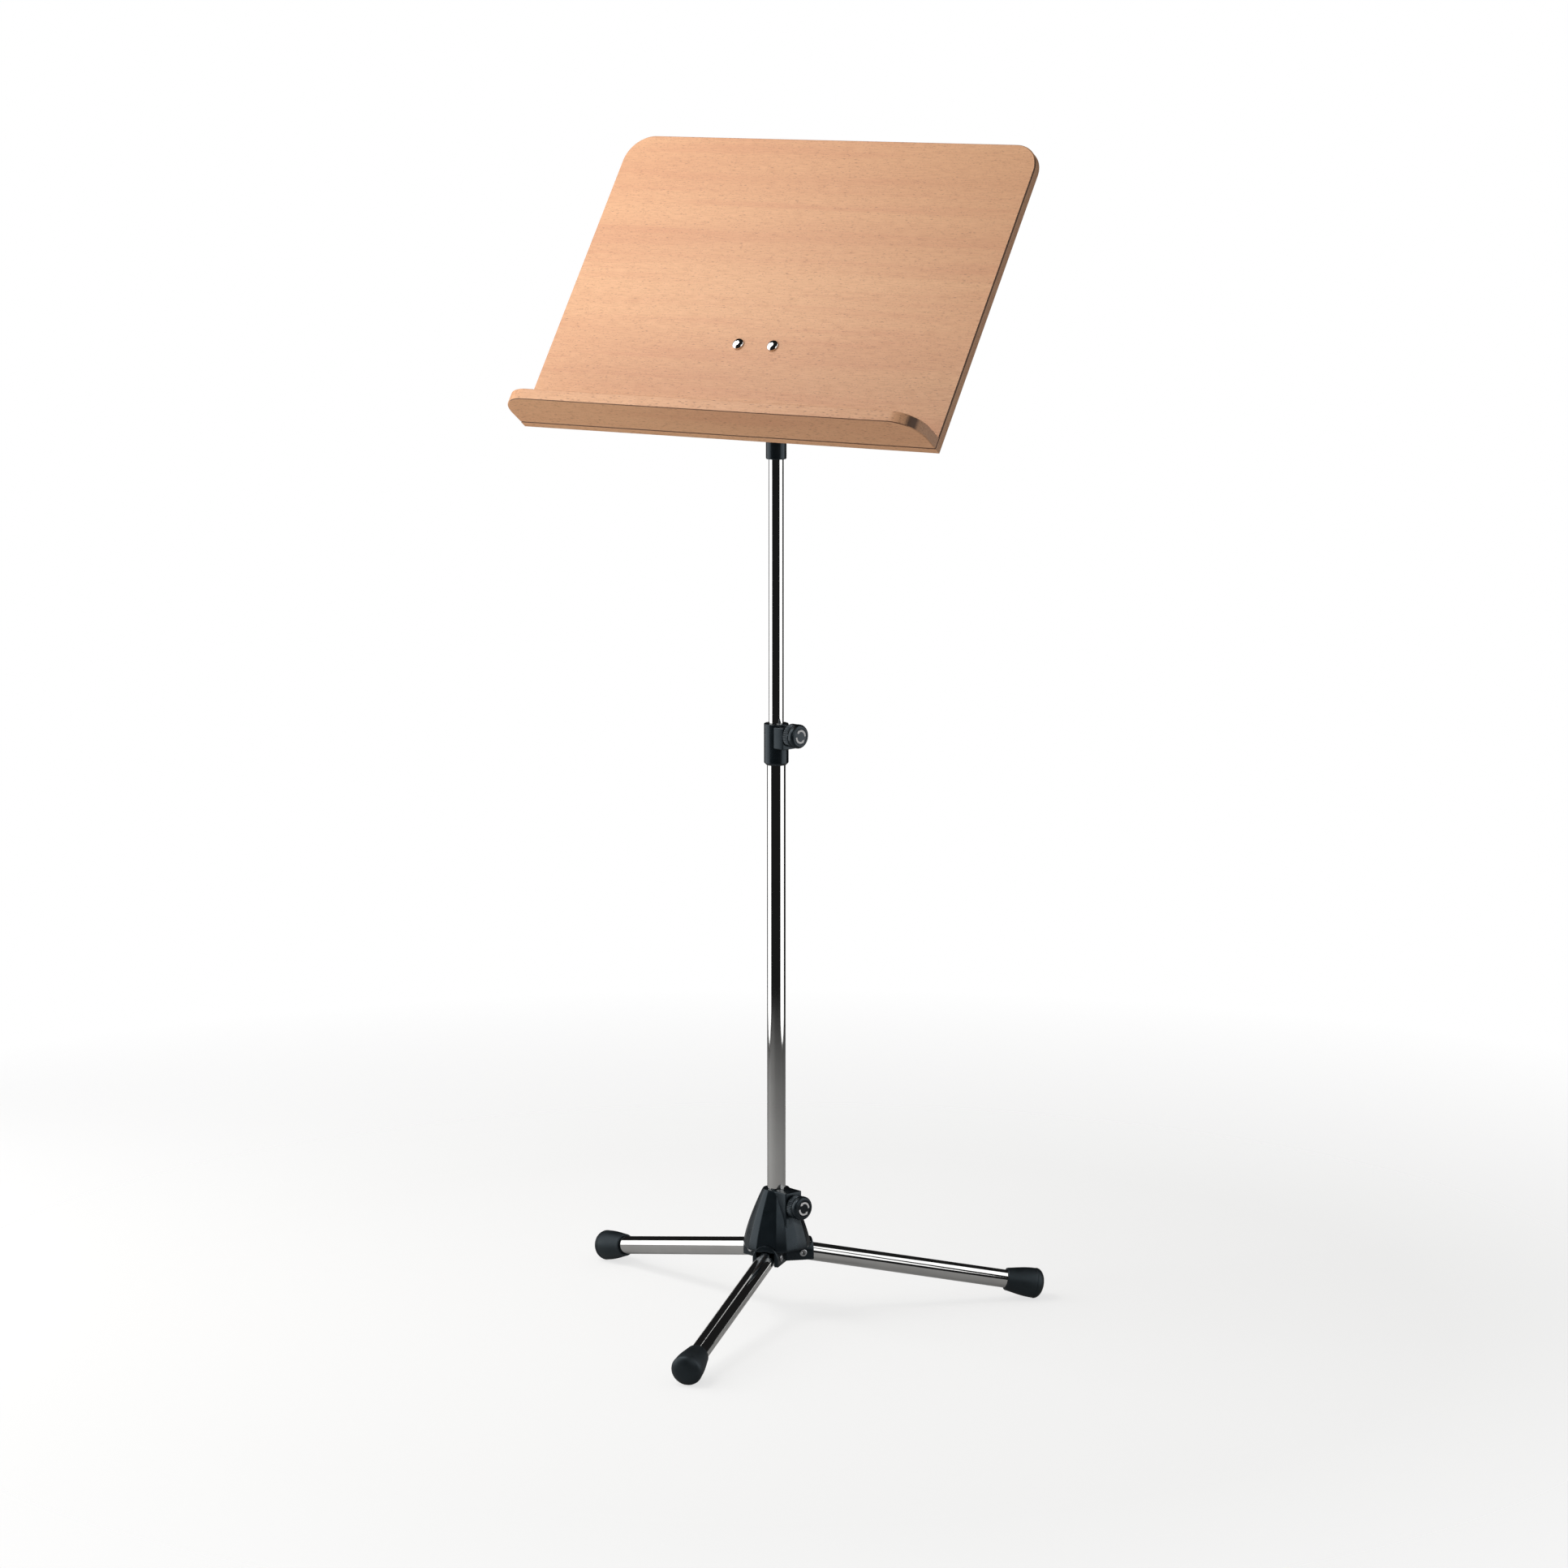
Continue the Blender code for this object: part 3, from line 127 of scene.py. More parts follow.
UP = Vector((0, 0, 1))
MAST = basis((*JOINTS["desk_swivel"]["pos_m"][:2], 0.0), (1, 0, 0), UP)
DESK = basis(JOINTS["desk_tilt"]["pos_m"], (1, 0, 0), MOUNTS["ledge_face"]["axis"])
LEGS = {side: leg_frame(side) for side in SIDES}
CLAMPS = {prefix: basis(JOINTS[prefix + "_knob_turn"]["pos_m"],
                        JOINTS[prefix + "_knob_turn"]["axis"], UP)
          for prefix in ("base", "height")}


# ---------------- mesh tools
def lathe(profile, sides, axis="Z"):
    """Spin (radius, place) points about an axis. Ends at radius 0 close on the axis."""
    turn = {"X": lambda r, c, s, h: (h, r * c, r * s),
            "Y": lambda r, c, s, h: (r * s, h, r * c),
            "Z": lambda r, c, s, h: (r * c, r * s, h)}[axis]
    bm = bmesh.new()
    rings = []
    for radius, place in profile:
        count = 1 if radius == 0.0 else sides
        angles = [math.tau * side / sides for side in range(count)]
        rings.append([bm.verts.new(turn(radius, math.cos(a), math.sin(a), place))
                      for a in angles])
    pairs = list(zip(rings, rings[1:]))
    if len(rings[0]) > 1:
        pairs.append((rings[-1], rings[0]))
    for first, second in pairs:
        for side in range(sides):
            after = (side + 1) % sides
            corners = [first[side % len(first)], second[side % len(second)],
                       second[after % len(second)], first[after % len(first)]]
            bm.faces.new(list(dict.fromkeys(corners)))
    return bm


def turned(profile, sides, axis="Z"):
    """Spin a profile into a solid with flat ends."""
    return lathe([(0.0, profile[0][1]), *profile, (0.0, profile[-1][1])], sides, axis)


def rod(radius, start, end, axis="X", sides=HOLE_ROUND):
    """A plain round bar."""
    return turned([(radius, start), (radius, end)], sides, axis)


def eased_bar(inner, radius, start, end, edge):
    """Profile of a bar or a washer whose outer edges are eased."""
    return [(inner, start), (radius - edge, start), (radius, start + edge),
            (radius, end - edge), (radius - edge, end), (inner, end)]


def loft(rings):
    """Skin a list of rings that have the same number of points, and close its ends."""
    bm = bmesh.new()
    made = [[bm.verts.new(point) for point in ring] for ring in rings]
    count = len(made[0])
    for first, second in zip(made, made[1:]):
        for side in range(count):
            after = (side + 1) % count
            bm.faces.new((first[side], second[side], second[after], first[after]))
    bm.faces.new(made[0])
    bm.faces.new(made[-1])
    return bm


def wavy_ring(place, sides, reach):
    """A ring about X, whose radius is a function of the angle."""
    angles = [math.tau * side / sides for side in range(sides)]
    return [(place, reach(a) * math.cos(a), reach(a) * math.sin(a)) for a in angles]


def hexagon(radius, first=0.0):
    """Corners of a hexagon, anticlockwise from this angle."""
    return [polar(radius, math.radians(first) + math.tau * corner / 6) for corner in range(6)]


def half_turn(radius, centre=0.0, first=0.0, steps=40):
    """Points of a half circle about (0, centre), anticlockwise from this angle."""
    middle = Vector((0.0, centre))
    return [middle + polar(radius, math.radians(first) + math.pi * step / steps)
            for step in range(steps + 1)]


def arch(radius, centre, foot):
    """Outline of an arch: a half circle about a height, on straight sides from its foot."""
    return [Vector((radius, foot)), *half_turn(radius, centre), Vector((-radius, foot))]


def polar(radius, angle):
    """The point at this radius and angle."""
    return Vector((radius * math.cos(angle), radius * math.sin(angle)))


def quarter(steps):
    """Sine and cosine of each step from 0 to 90 degrees."""
    angles = [math.pi / 2 * step / steps for step in range(steps + 1)]
    return [(math.sin(angle), math.cos(angle)) for angle in angles]


def round_corner(before, corner, after, distance, steps=4):
    """Points that round one corner, starting this far from it."""
    corner = Vector(corner)
    back = Vector(before) - corner
    ahead = Vector(after) - corner
    start = corner + back.normalized() * min(distance, back.length * 0.45)
    end = corner + ahead.normalized() * min(distance, ahead.length * 0.45)
    shares = [step / steps for step in range(steps + 1)]
    return [start * (1 - t) ** 2 + corner * 2 * t * (1 - t) + end * t * t for t in shares]


def neighbours(outline):
    """Each point of a closed outline, with the points before and after it."""
    return zip(outline[-1:] + outline[:-1], outline, outline[1:] + outline[:1])


def soften(outline, distance, steps=4):
    """Round every corner of a closed outline."""
    points = []
    for before, corner, after in neighbours(outline):
        points += round_corner(before, corner, after, distance, steps)
    return points


def arc_outline(corners, steps=24):
    """Outline through (x, y, radius) corners, in order, each rounded by a true arc."""
    points = []
    for before, (x, y, radius), after in neighbours(corners):
        corner = Vector((x, y))
        if radius == 0.0:
            points.append(corner)
            continue
        back = (Vector(before[:2]) - corner).normalized()
        ahead = (Vector(after[:2]) - corner).normalized()
        half = back.angle(ahead) / 2
        centre = corner + (back + ahead).normalized() * (radius / math.sin(half))
        first = corner + back * (radius / math.tan(half)) - centre
        last = corner + ahead * (radius / math.tan(half)) - centre
        sweep = -first.angle_signed(last)
        for step in range(steps + 1):
            points.append(centre + Matrix.Rotation(sweep * step / steps, 2) @ first)
    return points


def inset(outline, distance):
    """Move each side of a closed outline inward, for an outline that runs anticlockwise."""
    points = []
    for before, here, after in neighbours([Vector(point) for point in outline]):
        back = (here - before).normalized()
        ahead = (after - here).normalized()
        normal_back = Vector((-back.y, back.x))
        normal_ahead = Vector((-ahead.y, ahead.x))
        middle = (normal_back + normal_ahead).normalized()
        points.append(here + middle * (distance / max(middle.dot(normal_back), 0.3)))
    return points


def plate(outline, levels, plane):
    """A plate whose outline is inset at each (place, inset) level through its thickness."""
    put = {"XY": lambda u, v, w: (u, v, w), "XZ": lambda u, v, w: (u, w, v),
           "YZ": lambda u, v, w: (w, u, v)}[plane]
    return loft([[put(p[0], p[1], place) for p in (inset(outline, gap) if gap else outline)]
                 for place, gap in levels])


def edge_levels(start, end, radius, steps=3):
    """Plate levels for rounded edges on both faces."""
    low = [(start + radius * (1 - s), radius * (1 - c)) for s, c in reversed(quarter(steps))]
    return low + [(start + end - place, gap) for place, gap in reversed(low)]


def eased_end(end, edge, middle):
    """Plate levels that ease the edge of the far face."""
    return [(end - edge, 0.0), (end - middle, middle), (end, edge)]


def make_object(name, bm, matrix):
    """Turn a bmesh into an object placed by a frame."""
    bmesh.ops.recalc_face_normals(bm, faces=bm.faces)
    mesh = bpy.data.meshes.new(name)
    bm.to_mesh(mesh)
    bm.free()
    obj = bpy.data.objects.new(name, mesh)
    obj.matrix_world = matrix
    bpy.context.scene.collection.objects.link(obj)
    return obj


def add(name, bm, matrix):
    """A helper that carve joins to its target."""
    return "UNION", make_object(name, bm, matrix)


def cut(name, bm, matrix):
    """A helper that carve cuts from its target."""
    return "DIFFERENCE", make_object(name, bm, matrix)


def carve(target, helpers):
    """Join helpers to the target or cut them from it, and remove them."""
    for operation, helper in helpers:
        modifier = target.modifiers.new(helper.name, "BOOLEAN")
        modifier.operation = operation
        modifier.solver = "EXACT"
        modifier.object = helper
    bpy.context.view_layer.update()
    graph = bpy.context.evaluated_depsgraph_get()
    mesh = bpy.data.meshes.new_from_object(target.evaluated_get(graph))
    target.modifiers.clear()
    target.data = mesh
    for _, helper in helpers:
        bpy.data.objects.remove(helper)


def finish_piece(obj, body, slot, *nodes, material=None):
    """Shade a piece, give it its slot's material, and tie it to its body and nodes."""
    obj.data.materials.clear()
    obj.data.materials.append(MATERIALS[material or slot])
    obj.data.shade_smooth()
    obj.data.set_sharp_from_angle(angle=SHARP_ANGLE)
    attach(obj, body)
    if nodes:
        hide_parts(*nodes)


# ---------------- materials
class Shading:
    """A material's node tree, with short calls for the nodes that this scene uses."""

    def __init__(self, name):
        self.material = bpy.data.materials.new(name)
        self.material.use_nodes = True
        self.tree = self.material.node_tree
        self.shader = self.tree.nodes["Principled BSDF"]
        coordinates = self.add("ShaderNodeTexCoord")
        self.place = coordinates.outputs["Object"]
        self.facing = coordinates.outputs["Normal"]

    def add(self, kind, **values):
        """A new node, with these values on its inputs."""
        node = self.tree.nodes.new(kind)
        for name, value in values.items():
            node.inputs[name.replace("_", " ")].default_value = value
        return node

    def link(self, source, target):
        self.tree.links.new(source, target)

    def stretched(self, scale):
        """Object coordinates, scaled separately along each axis."""
        node = self.add("ShaderNodeMapping", Scale=scale)
        self.link(self.place, node.inputs["Vector"])
        return node.outputs["Vector"]

    def noise(self, scale, detail=3.0, roughness=0.5, distortion=0.0):
        node = self.add("ShaderNodeTexNoise", Scale=1.0, Detail=detail, Roughness=roughness,
                        Distortion=distortion)
        self.link(self.stretched(scale), node.inputs["Vector"])
        return node.outputs["Fac"]

    def cells(self, scale):
        node = self.add("ShaderNodeTexVoronoi", Scale=1.0)
        self.link(self.stretched(scale), node.inputs["Vector"])
        return node.outputs["Distance"], node.outputs["Color"]

    def spread(self, value, low, high, start=0.0, end=1.0):
        """Map a value from one range to another, held at the ends."""
        node = self.add("ShaderNodeMapRange", From_Min=low, From_Max=high, To_Min=start,
                        To_Max=end)
        node.clamp = True
        self.link(value, node.inputs["Value"])
        return node.outputs["Result"]

    def maths(self, operation, first, second):
        node = self.add("ShaderNodeMath")
        node.operation = operation
        self.link(first, node.inputs[0])
        if isinstance(second, float):
            node.inputs[1].default_value = second
        else:
            self.link(second, node.inputs[1])
        return node.outputs[0]

    def product(self, first, second):
        return self.maths("MULTIPLY", first, second)

    def total(self, first, second):
        return self.maths("ADD", first, second)

    def blend(self, factor, first, second):
        """Mix two colours, each a colour or another node's output."""
        node = self.add("ShaderNodeMix")
        node.data_type = "RGBA"
        self.link(factor, node.inputs["Factor"])
        for name, value in (("A", first), ("B", second)):
            socket = next(s for s in node.inputs if s.name == name and s.type == "RGBA")
            if isinstance(value, tuple):
                socket.default_value = (*value, 1.0)
            else:
                self.link(value, socket)
        return next(s for s in node.outputs if s.type == "RGBA")

    def bump(self, height, strength, distance):
        node = self.add("ShaderNodeBump", Strength=strength, Distance=distance)
        self.link(height, node.inputs["Height"])
        self.link(node.outputs["Normal"], self.shader.inputs["Normal"])

    def set(self, **values):
        for name, value in values.items():
            socket = self.shader.inputs[name.replace("_", " ")]
            if isinstance(value, tuple):
                socket.default_value = (*value, 1.0)
            elif isinstance(value, float):
                socket.default_value = value
            else:
                self.link(value, socket)


def chamfer_shade_mask(wood):
    """1 on the front chamfers that face right or down, where painted shade darkens the edge."""
    parts = wood.add("ShaderNodeSeparateXYZ")
    wood.link(wood.facing, parts.inputs["Vector"])
    front = wood.product(wood.spread(parts.outputs["Y"], -0.90, -0.82),
                         wood.spread(parts.outputs["Y"], -0.60, -0.50, 1.0, 0.0))
    sides = wood.total(wood.spread(parts.outputs["X"], 0.55, 0.65),
                       wood.spread(parts.outputs["Z"], -0.65, -0.55, 1.0, 0.0))
    return wood.product(front, sides)


BEECH_TONES = ((0.760, 0.420, 0.222), (0.700, 0.362, 0.190), (0.640, 0.290, 0.155))
FIBRE_COLOUR = (0.44, 0.205, 0.11)
FLECK_COLOUR = (0.20, 0.085, 0.045)
DOT_COLOUR = (0.30, 0.135, 0.075)
# painted shade for the front chamfers that face away from the light
CHAMFER_SHADE_COLOUR = (0.060, 0.028, 0.016)


def beech(name, depth=1.0):
    """Satin beech: soft bands and fine fibres along X, with short dark flecks."""
    wood = Shading(name)
    light, middle, pink = [tuple(part * depth for part in tone) for tone in BEECH_TONES]
    bands = wood.spread(wood.noise((1.2, 7.0, 17.0), 2.0, 0.5, 0.4), 0.36, 0.64)
    tone = wood.blend(bands, light, middle)
    streaks = wood.spread(wood.noise((2.2, 30.0, 75.0), 3.0, 0.6, 0.2), 0.50, 0.76, 0.0, 0.60)
    tone = wood.blend(streaks, tone, pink)
    fibres = wood.spread(wood.noise((60.0, 900.0, 900.0), 3.0, 0.7), 0.42, 0.72, 0.0, 0.42)
    tone = wood.blend(fibres, tone, FIBRE_COLOUR)
    distance, colour = wood.cells((130.0, 520.0, 520.0))
    fleck = wood.product(wood.spread(distance, 0.14, 0.34, 1.0, 0.0),
                         wood.spread(colour, 0.46, 0.54))
    tone = wood.blend(wood.product(fleck, 0.55), tone, FLECK_COLOUR)
    distance, colour = wood.cells((300.0, 1100.0, 1100.0))
    dots = wood.product(wood.spread(distance, 0.20, 0.40, 1.0, 0.0),
                        wood.spread(colour, 0.44, 0.54))
    tone = wood.blend(wood.product(dots, 0.45), tone, DOT_COLOUR)
    # painted shade: the front chamfers that face right or down are darkened
    tone = wood.blend(wood.product(chamfer_shade_mask(wood), 0.85), tone, CHAMFER_SHADE_COLOUR)
    wood.set(Base_Color=tone, Roughness=wood.spread(fibres, 0.0, 0.42, 0.46, 0.58),
             Specular_IOR_Level=0.30, Coat_Weight=0.03, Coat_Roughness=0.30)
    wood.bump(wood.total(wood.product(fleck, -1.0), wood.product(fibres, 1.5)), 0.25, 0.0002)
    return wood.material


def chrome(name):
    """Bright chrome plate with faint haze and hairline scratches."""
    metal = Shading(name)
    haze = metal.noise((26.0, 26.0, 26.0), 3.0, 0.55)
    scratch = metal.noise((900.0, 900.0, 60.0), 2.0, 0.5)
    colour = metal.blend(metal.spread(haze, 0.3, 0.7), (0.82, 0.82, 0.81), (0.75, 0.75, 0.74))
    metal.set(Base_Color=colour, Metallic=1.0,
              Roughness=metal.spread(haze, 0.3, 0.7, 0.035, 0.06))
    metal.bump(scratch, 0.012, 0.0001)
    return metal.material


COOL = (0.72, 0.88, 1.0)        # sheen of the black plastic and rubber
PLAIN = (1.0, 1.0, 1.0)


def moulded(name, colour, rough, grain, strength, tint=COOL):
    """Moulded plastic or rubber with a fine grained skin."""
    skin = Shading(name)
    fine = skin.noise((grain, grain, grain), 3.0, 0.6)
    broad = skin.noise((70.0, 70.0, 70.0), 3.0, 0.5)
    pale = tuple(min(1.0, value * 1.35) for value in colour)
    skin.set(Base_Color=skin.blend(skin.spread(broad, 0.3, 0.7), colour, pale),
             Roughness=skin.spread(broad, 0.3, 0.7, *rough), Specular_Tint=tint)
    skin.bump(fine, strength, 0.0002)
    return skin.material


def plated(name, colour, rough):
    """Bare or plated metal with a slightly uneven sheen."""
    metal = Shading(name)
    patches = metal.noise((180.0, 180.0, 180.0), 4.0, 0.6)
    lines = metal.noise((2200.0, 240.0, 240.0), 2.0, 0.5)
    darker = tuple(value * 0.82 for value in colour)
    metal.set(Base_Color=metal.blend(metal.spread(patches, 0.3, 0.7), colour, darker),
              Metallic=1.0, Roughness=metal.spread(patches, 0.3, 0.7, *rough))
    metal.bump(lines, 0.10, 0.0001)
    return metal.material


MATERIALS = {
    "beech_board": beech("beech_board"),
    "beech_ledge": beech("beech_ledge", 0.97),
    "chrome_tube": chrome("chrome_plate"),
    "polished_bolt": plated("polished_steel", (0.86, 0.86, 0.85), (0.05, 0.09)),
    "black_plastic": moulded("black_nylon", (0.0050, 0.0075, 0.0095), (0.24, 0.34), 1500.0, 0.07),
    "knob_cap": moulded("black_gloss", (0.0060, 0.0075, 0.0090), (0.12, 0.20), 900.0, 0.03),
    "white_print": moulded("white_print", (0.82, 0.82, 0.82), (0.45, 0.55), 1500.0, 0.05, PLAIN),
    "foot_rubber": moulded("black_rubber", (0.0085, 0.0115, 0.0130), (0.42, 0.56), 1100.0, 0.16),
    "white_nylon": moulded("white_nylon", (0.78, 0.77, 0.72), (0.40, 0.50), 900.0, 0.08, PLAIN),
    "zinc_steel": plated("zinc_plate", (0.62, 0.63, 0.65), (0.22, 0.36)),
    "black_steel": moulded("powder_coat", (0.012, 0.013, 0.015), (0.42, 0.55), 1300.0, 0.30),
    "brass": plated("turned_brass", (0.72, 0.52, 0.24), (0.22, 0.34)),
}


# ---------------- desk
def bolt_places():
    """X places of the two desk bolts."""
    return [middle_of("desk_bolt_" + side, DESK, 0) for side in ("left", "right")]


def bolt_holes(name, start, end):
    """Cutters for the holes of the two desk bolts."""
    return [cut("%s_%d" % (name, index), rod(BOLT_HOLE, start, end, "Y"),
                DESK @ Matrix.Translation((x, 0.0, 0.0)))
            for index, x in enumerate(bolt_places())]


CORNER_RADIUS = 0.032
BOARD_CHAMFER = 0.0012
LEDGE_CHAMFER = 0.0007


def build_board():
    """The beech board with its chamfered face, bolt holes and countersunk screw holes."""
    left, right, front, back, bottom, top = box_of("desk_board")
    outline = arc_outline([(left, bottom, 0.0), (right, bottom, 0.0),
                           (right, top, CORNER_RADIUS), (left, top, CORNER_RADIUS)])
    levels = [(front, BOARD_CHAMFER), (front + BOARD_CHAMFER, 0.0)]
    levels += eased_end(back, 0.0006, 0.0002)
    board = make_object("board", plate(outline, levels, "XZ"), DESK)
    carve(board, bolt_holes("bolt_hole", front - PAST, back + PAST)
          + screw_holes("board_screw", back))
    finish_piece(board, "desk", "beech_board", "desk_board")


def screw_holes(name, back):
    """Cutters for the countersunk holes of the ledge screws."""
    shank = 0.0023
    head = 0.0045
    helpers = []
    for index in range(1, 5):
        node = "ledge_screw_%d" % index
        tip = span(node, DESK, 1)[0] - 0.002
        bar = turned([(shank, tip), (shank, back - 0.0026), (head, back - 0.0003),
                      (head, back + PAST)], HOLE_ROUND, "Y")
        helpers.append(cut("%s_%d" % (name, index), bar, screw_place(node)))
    return helpers


def screw_place(node):
    """A ledge screw's own frame: the desk's, moved to the screw's axis."""
    return DESK @ Matrix.Translation((middle_of(node, DESK, 0), 0.0, middle_of(node, DESK, 2)))


def build_ledge():
    """The beech ledge with its two large rounded corners."""
    left, right, front, back, bottom, top = box_of("desk_ledge")
    outline = arc_outline([(left, front, CORNER_RADIUS), (right, front, CORNER_RADIUS),
                           (right, back, 0.0), (left, back, 0.0)])
    levels = [(bottom, LEDGE_CHAMFER), (bottom + LEDGE_CHAMFER, 0.0),
              (top - LEDGE_CHAMFER, 0.0), (top, LEDGE_CHAMFER)]
    ledge = make_object("ledge", plate(outline, levels, "XY"), DESK)
    carve(ledge, screw_holes("ledge_screw_hole", span("desk_board", DESK, 1)[1]))
    finish_piece(ledge, "desk", "beech_ledge", "desk_ledge")


def dome(radius, height, seat):
    """Profile of a domed head that rises towards -Y from its seat."""
    arc = quarter(10)[1:]
    return [(0.0, seat - height)] + [(radius * s, seat - height * c) for s, c in arc]


def build_bolts():
    """Polished domed bolts with their washers and nuts."""
    seat = span("desk_board", DESK, 1)[0] - 0.0001
    rim = 0.0005
    shank = 0.0030
    bevel = 0.0006
    for side, x in zip(("left", "right"), bolt_places()):
        name = "desk_bolt_" + side
        radius = radius_of(name, DESK, 0)
        start, end = span(name, DESK, 1)
        profile = dome(radius, seat - rim - start, seat - rim)
        profile += [(radius, seat - rim * 0.3), (radius - 0.0002, seat), (shank, seat),
                    (shank, end - bevel), (shank - bevel, end), (0.0, end)]
        place = DESK @ Matrix.Translation((x, 0.0, 0.0))
        bolt = make_object("bolt_" + side, lathe(profile, SMALL_ROUND, "Y"), place)
        finish_piece(bolt, "desk", "polished_bolt", name)
        build_washer("washer_" + side, "desk_washer_" + side, place, "Y", BOLT_HOLE)
        build_nut(side, place)


def build_washer(name, node, place, axis, hole, slot="zinc_steel", body="desk"):
    """A flat washer with eased edges."""
    start, end = span(node, place, "XYZ".index(axis))
    edge = min(0.0003, (end - start) / 3)
    ring = lathe(eased_bar(hole, radius_of(node, place, 2), start, end, edge), SMALL_ROUND, axis)
    finish_piece(make_object(name, ring, place), body, slot, node)


def build_nut(side, place):
    """A hexagon nut with chamfered corners and a bored centre."""
    node = "desk_nut_" + side
    start, end = span(node, place, 1)
    radius = radius_of(node, place, 2)
    face = radius * 0.89
    belly = radius * 1.03
    wide = radius * 1.9
    slope = 0.0009
    nut = make_object("nut_" + side, plate(soften(hexagon(radius, 150), 0.0003, 2),
                                           edge_levels(start, end, 0.0004), "XZ"), place)
    dish = turned([(wide, start - PAST), (face, start), (belly, start + slope),
                   (belly, end - slope), (face, end), (wide, end + PAST)], SMALL_ROUND, "Y")
    carve(nut, [("INTERSECT", make_object("nut_dish", dish, place)),
                cut("nut_bore", rod(BOLT_HOLE, start - PAST, end + PAST, "Y"), place)])
    finish_piece(nut, "desk", "zinc_steel", node)


def build_screw(index):
    """A countersunk wood screw with a cross recess and a threaded shank."""
    node = "ledge_screw_%d" % index
    place = screw_place(node)
    tip, head = span(node, DESK, 1)
    head_radius = radius_of(node, DESK, 0)
    core = 0.0014
    crest = 0.0020
    pitch = 0.0018
    thread_end = head - 0.012
    profile = [(0.0, tip)]
    turn_start = tip + 0.003
    while turn_start < thread_end:
        profile += [(core, turn_start), (crest, turn_start + pitch / 2)]
        turn_start += pitch
    profile += [(core, turn_start), (core, head - 0.0028), (head_radius, head - 0.0003),
                (head_radius, head), (0.0, head)]
    screw = make_object("ledge_screw_fine_%d" % index, lathe(profile, HOLE_ROUND, "Y"), place)
    half_length = 0.0021
    half_width = 0.0004
    outline = [(-half_length, -half_width), (half_length, -half_width),
               (half_length, half_width), (-half_length, half_width)]
    levels = [(head - 0.0013, 0.0001), (head + 0.001, 0.0)]
    carve(screw, [cut("recess", plate(outline, levels, "XZ"), place @ Matrix.Rotation(turn, 4, "Y"))
                  for turn in (0.0, math.pi / 2)])
    finish_piece(screw, "desk", "zinc_steel", node)


# ---------------- tilt joint
def build_bracket():
    """U-shaped steel bracket: a plate with rounded corners and two rounded ears."""
    low_x, high_x, seat, _, low_z, high_z = box_of("desk_bracket")
    thickness = 0.0025
    corner = 0.006
    edge = 0.0004
    ear_outer = 0.0126
    ear_radius = 0.0110
    ear_inset = 0.002
    foot = seat + thickness / 2
    outline = arc_outline([(low_x, low_z, corner), (high_x, low_z, corner),
                           (high_x, high_z, corner), (low_x, high_z, corner)], 8)
    levels = edge_levels(seat, seat + thickness, edge, 2)
    bracket = make_object("bracket", plate(outline, levels, "XZ"), DESK)
    ear = [Vector((foot, low_z + ear_inset)), *half_turn(ear_radius, 0.0, -90.0, 24),
           Vector((foot, high_z - ear_inset))]
    helpers = []
    for start in (ear_outer - thickness, -ear_outer):
        levels = edge_levels(start, start + thickness, edge, 2)
        helpers.append(add("ear", plate(ear, levels, "YZ"), DESK))
    helpers += bolt_holes("bracket_bolt", seat - PAST, seat + PAST)
    helpers.append(cut("ear_bore", rod(SCREW_HOLE, -0.03, 0.03), DESK))
    carve(bracket, helpers)
    finish_piece(bracket, "desk", "black_steel", "desk_bracket")


def build_tilt_head():
    """Socket with a blended lug, bored for the tube and the tilt bolt."""
    head = basis(JOINTS["desk_tilt"]["pos_m"], (1, 0, 0), UP)
    bottom = span("tilt_head", head, 2)[0]
    radius = span("tilt_head", head, 0)[1]
    top = -0.0187
    mouth_edge = 0.0012
    shoulder = 0.004
    profile = [(radius - mouth_edge * (1 - s), bottom + mouth_edge * (1 - c))
               for s, c in quarter(4)]
    profile += [(radius - shoulder * (1 - c), top - shoulder * (1 - s)) for s, c in quarter(8)]
    socket = make_object("socket", turned(profile, ROUND), head)
    half = 0.0080
    lug_radius = 0.0110
    root = lug_radius - 0.003
    root_z = top - 0.010
    side_z = top + 0.006
    outline = [Vector(point) for point in [
        (-root, root_z), (root, root_z), (lug_radius, side_z),
        *half_turn(lug_radius, steps=32), (-lug_radius, side_z)]]
    tube_end = span("upper_tube", head, 2)[1] + 0.0003
    grub = head @ Matrix.Translation((0.0, 0.0, middle_of("head_lock_screw", head, 2)))
    carve(socket, [
        add("lug", plate(outline, edge_levels(-half, half, 0.0008), "YZ"), head),
        cut("tube_hole", rod(0.0083, bottom - PAST, tube_end, "Z", ROUND), head),
        cut("bolt_hole", rod(SCREW_HOLE, -0.02, 0.02), head),
        cut("grub_hole", rod(0.0023, 0.004, 0.02, "Y"), grub)])
    finish_piece(socket, "head", "black_plastic", "tilt_head")
    build_lock_screw(grub)


def build_lock_screw(place):
    """Grub screw with a hexagon key hole, in the back of the socket."""
    start, end = span("head_lock_screw", place, 1)
    bar = lathe(eased_bar(0.0, 0.0020, start, end, 0.0003), HOLE_ROUND, "Y")
    screw = make_object("lock_screw", bar, place)
    key = plate(hexagon(0.0012, 90), [(start + 0.0010, 0.0), (end + 0.002, 0.0)], "XZ")
    carve(screw, [cut("key_hole", key, place)])
    finish_piece(screw, "head", "zinc_steel", "head_lock_screw")


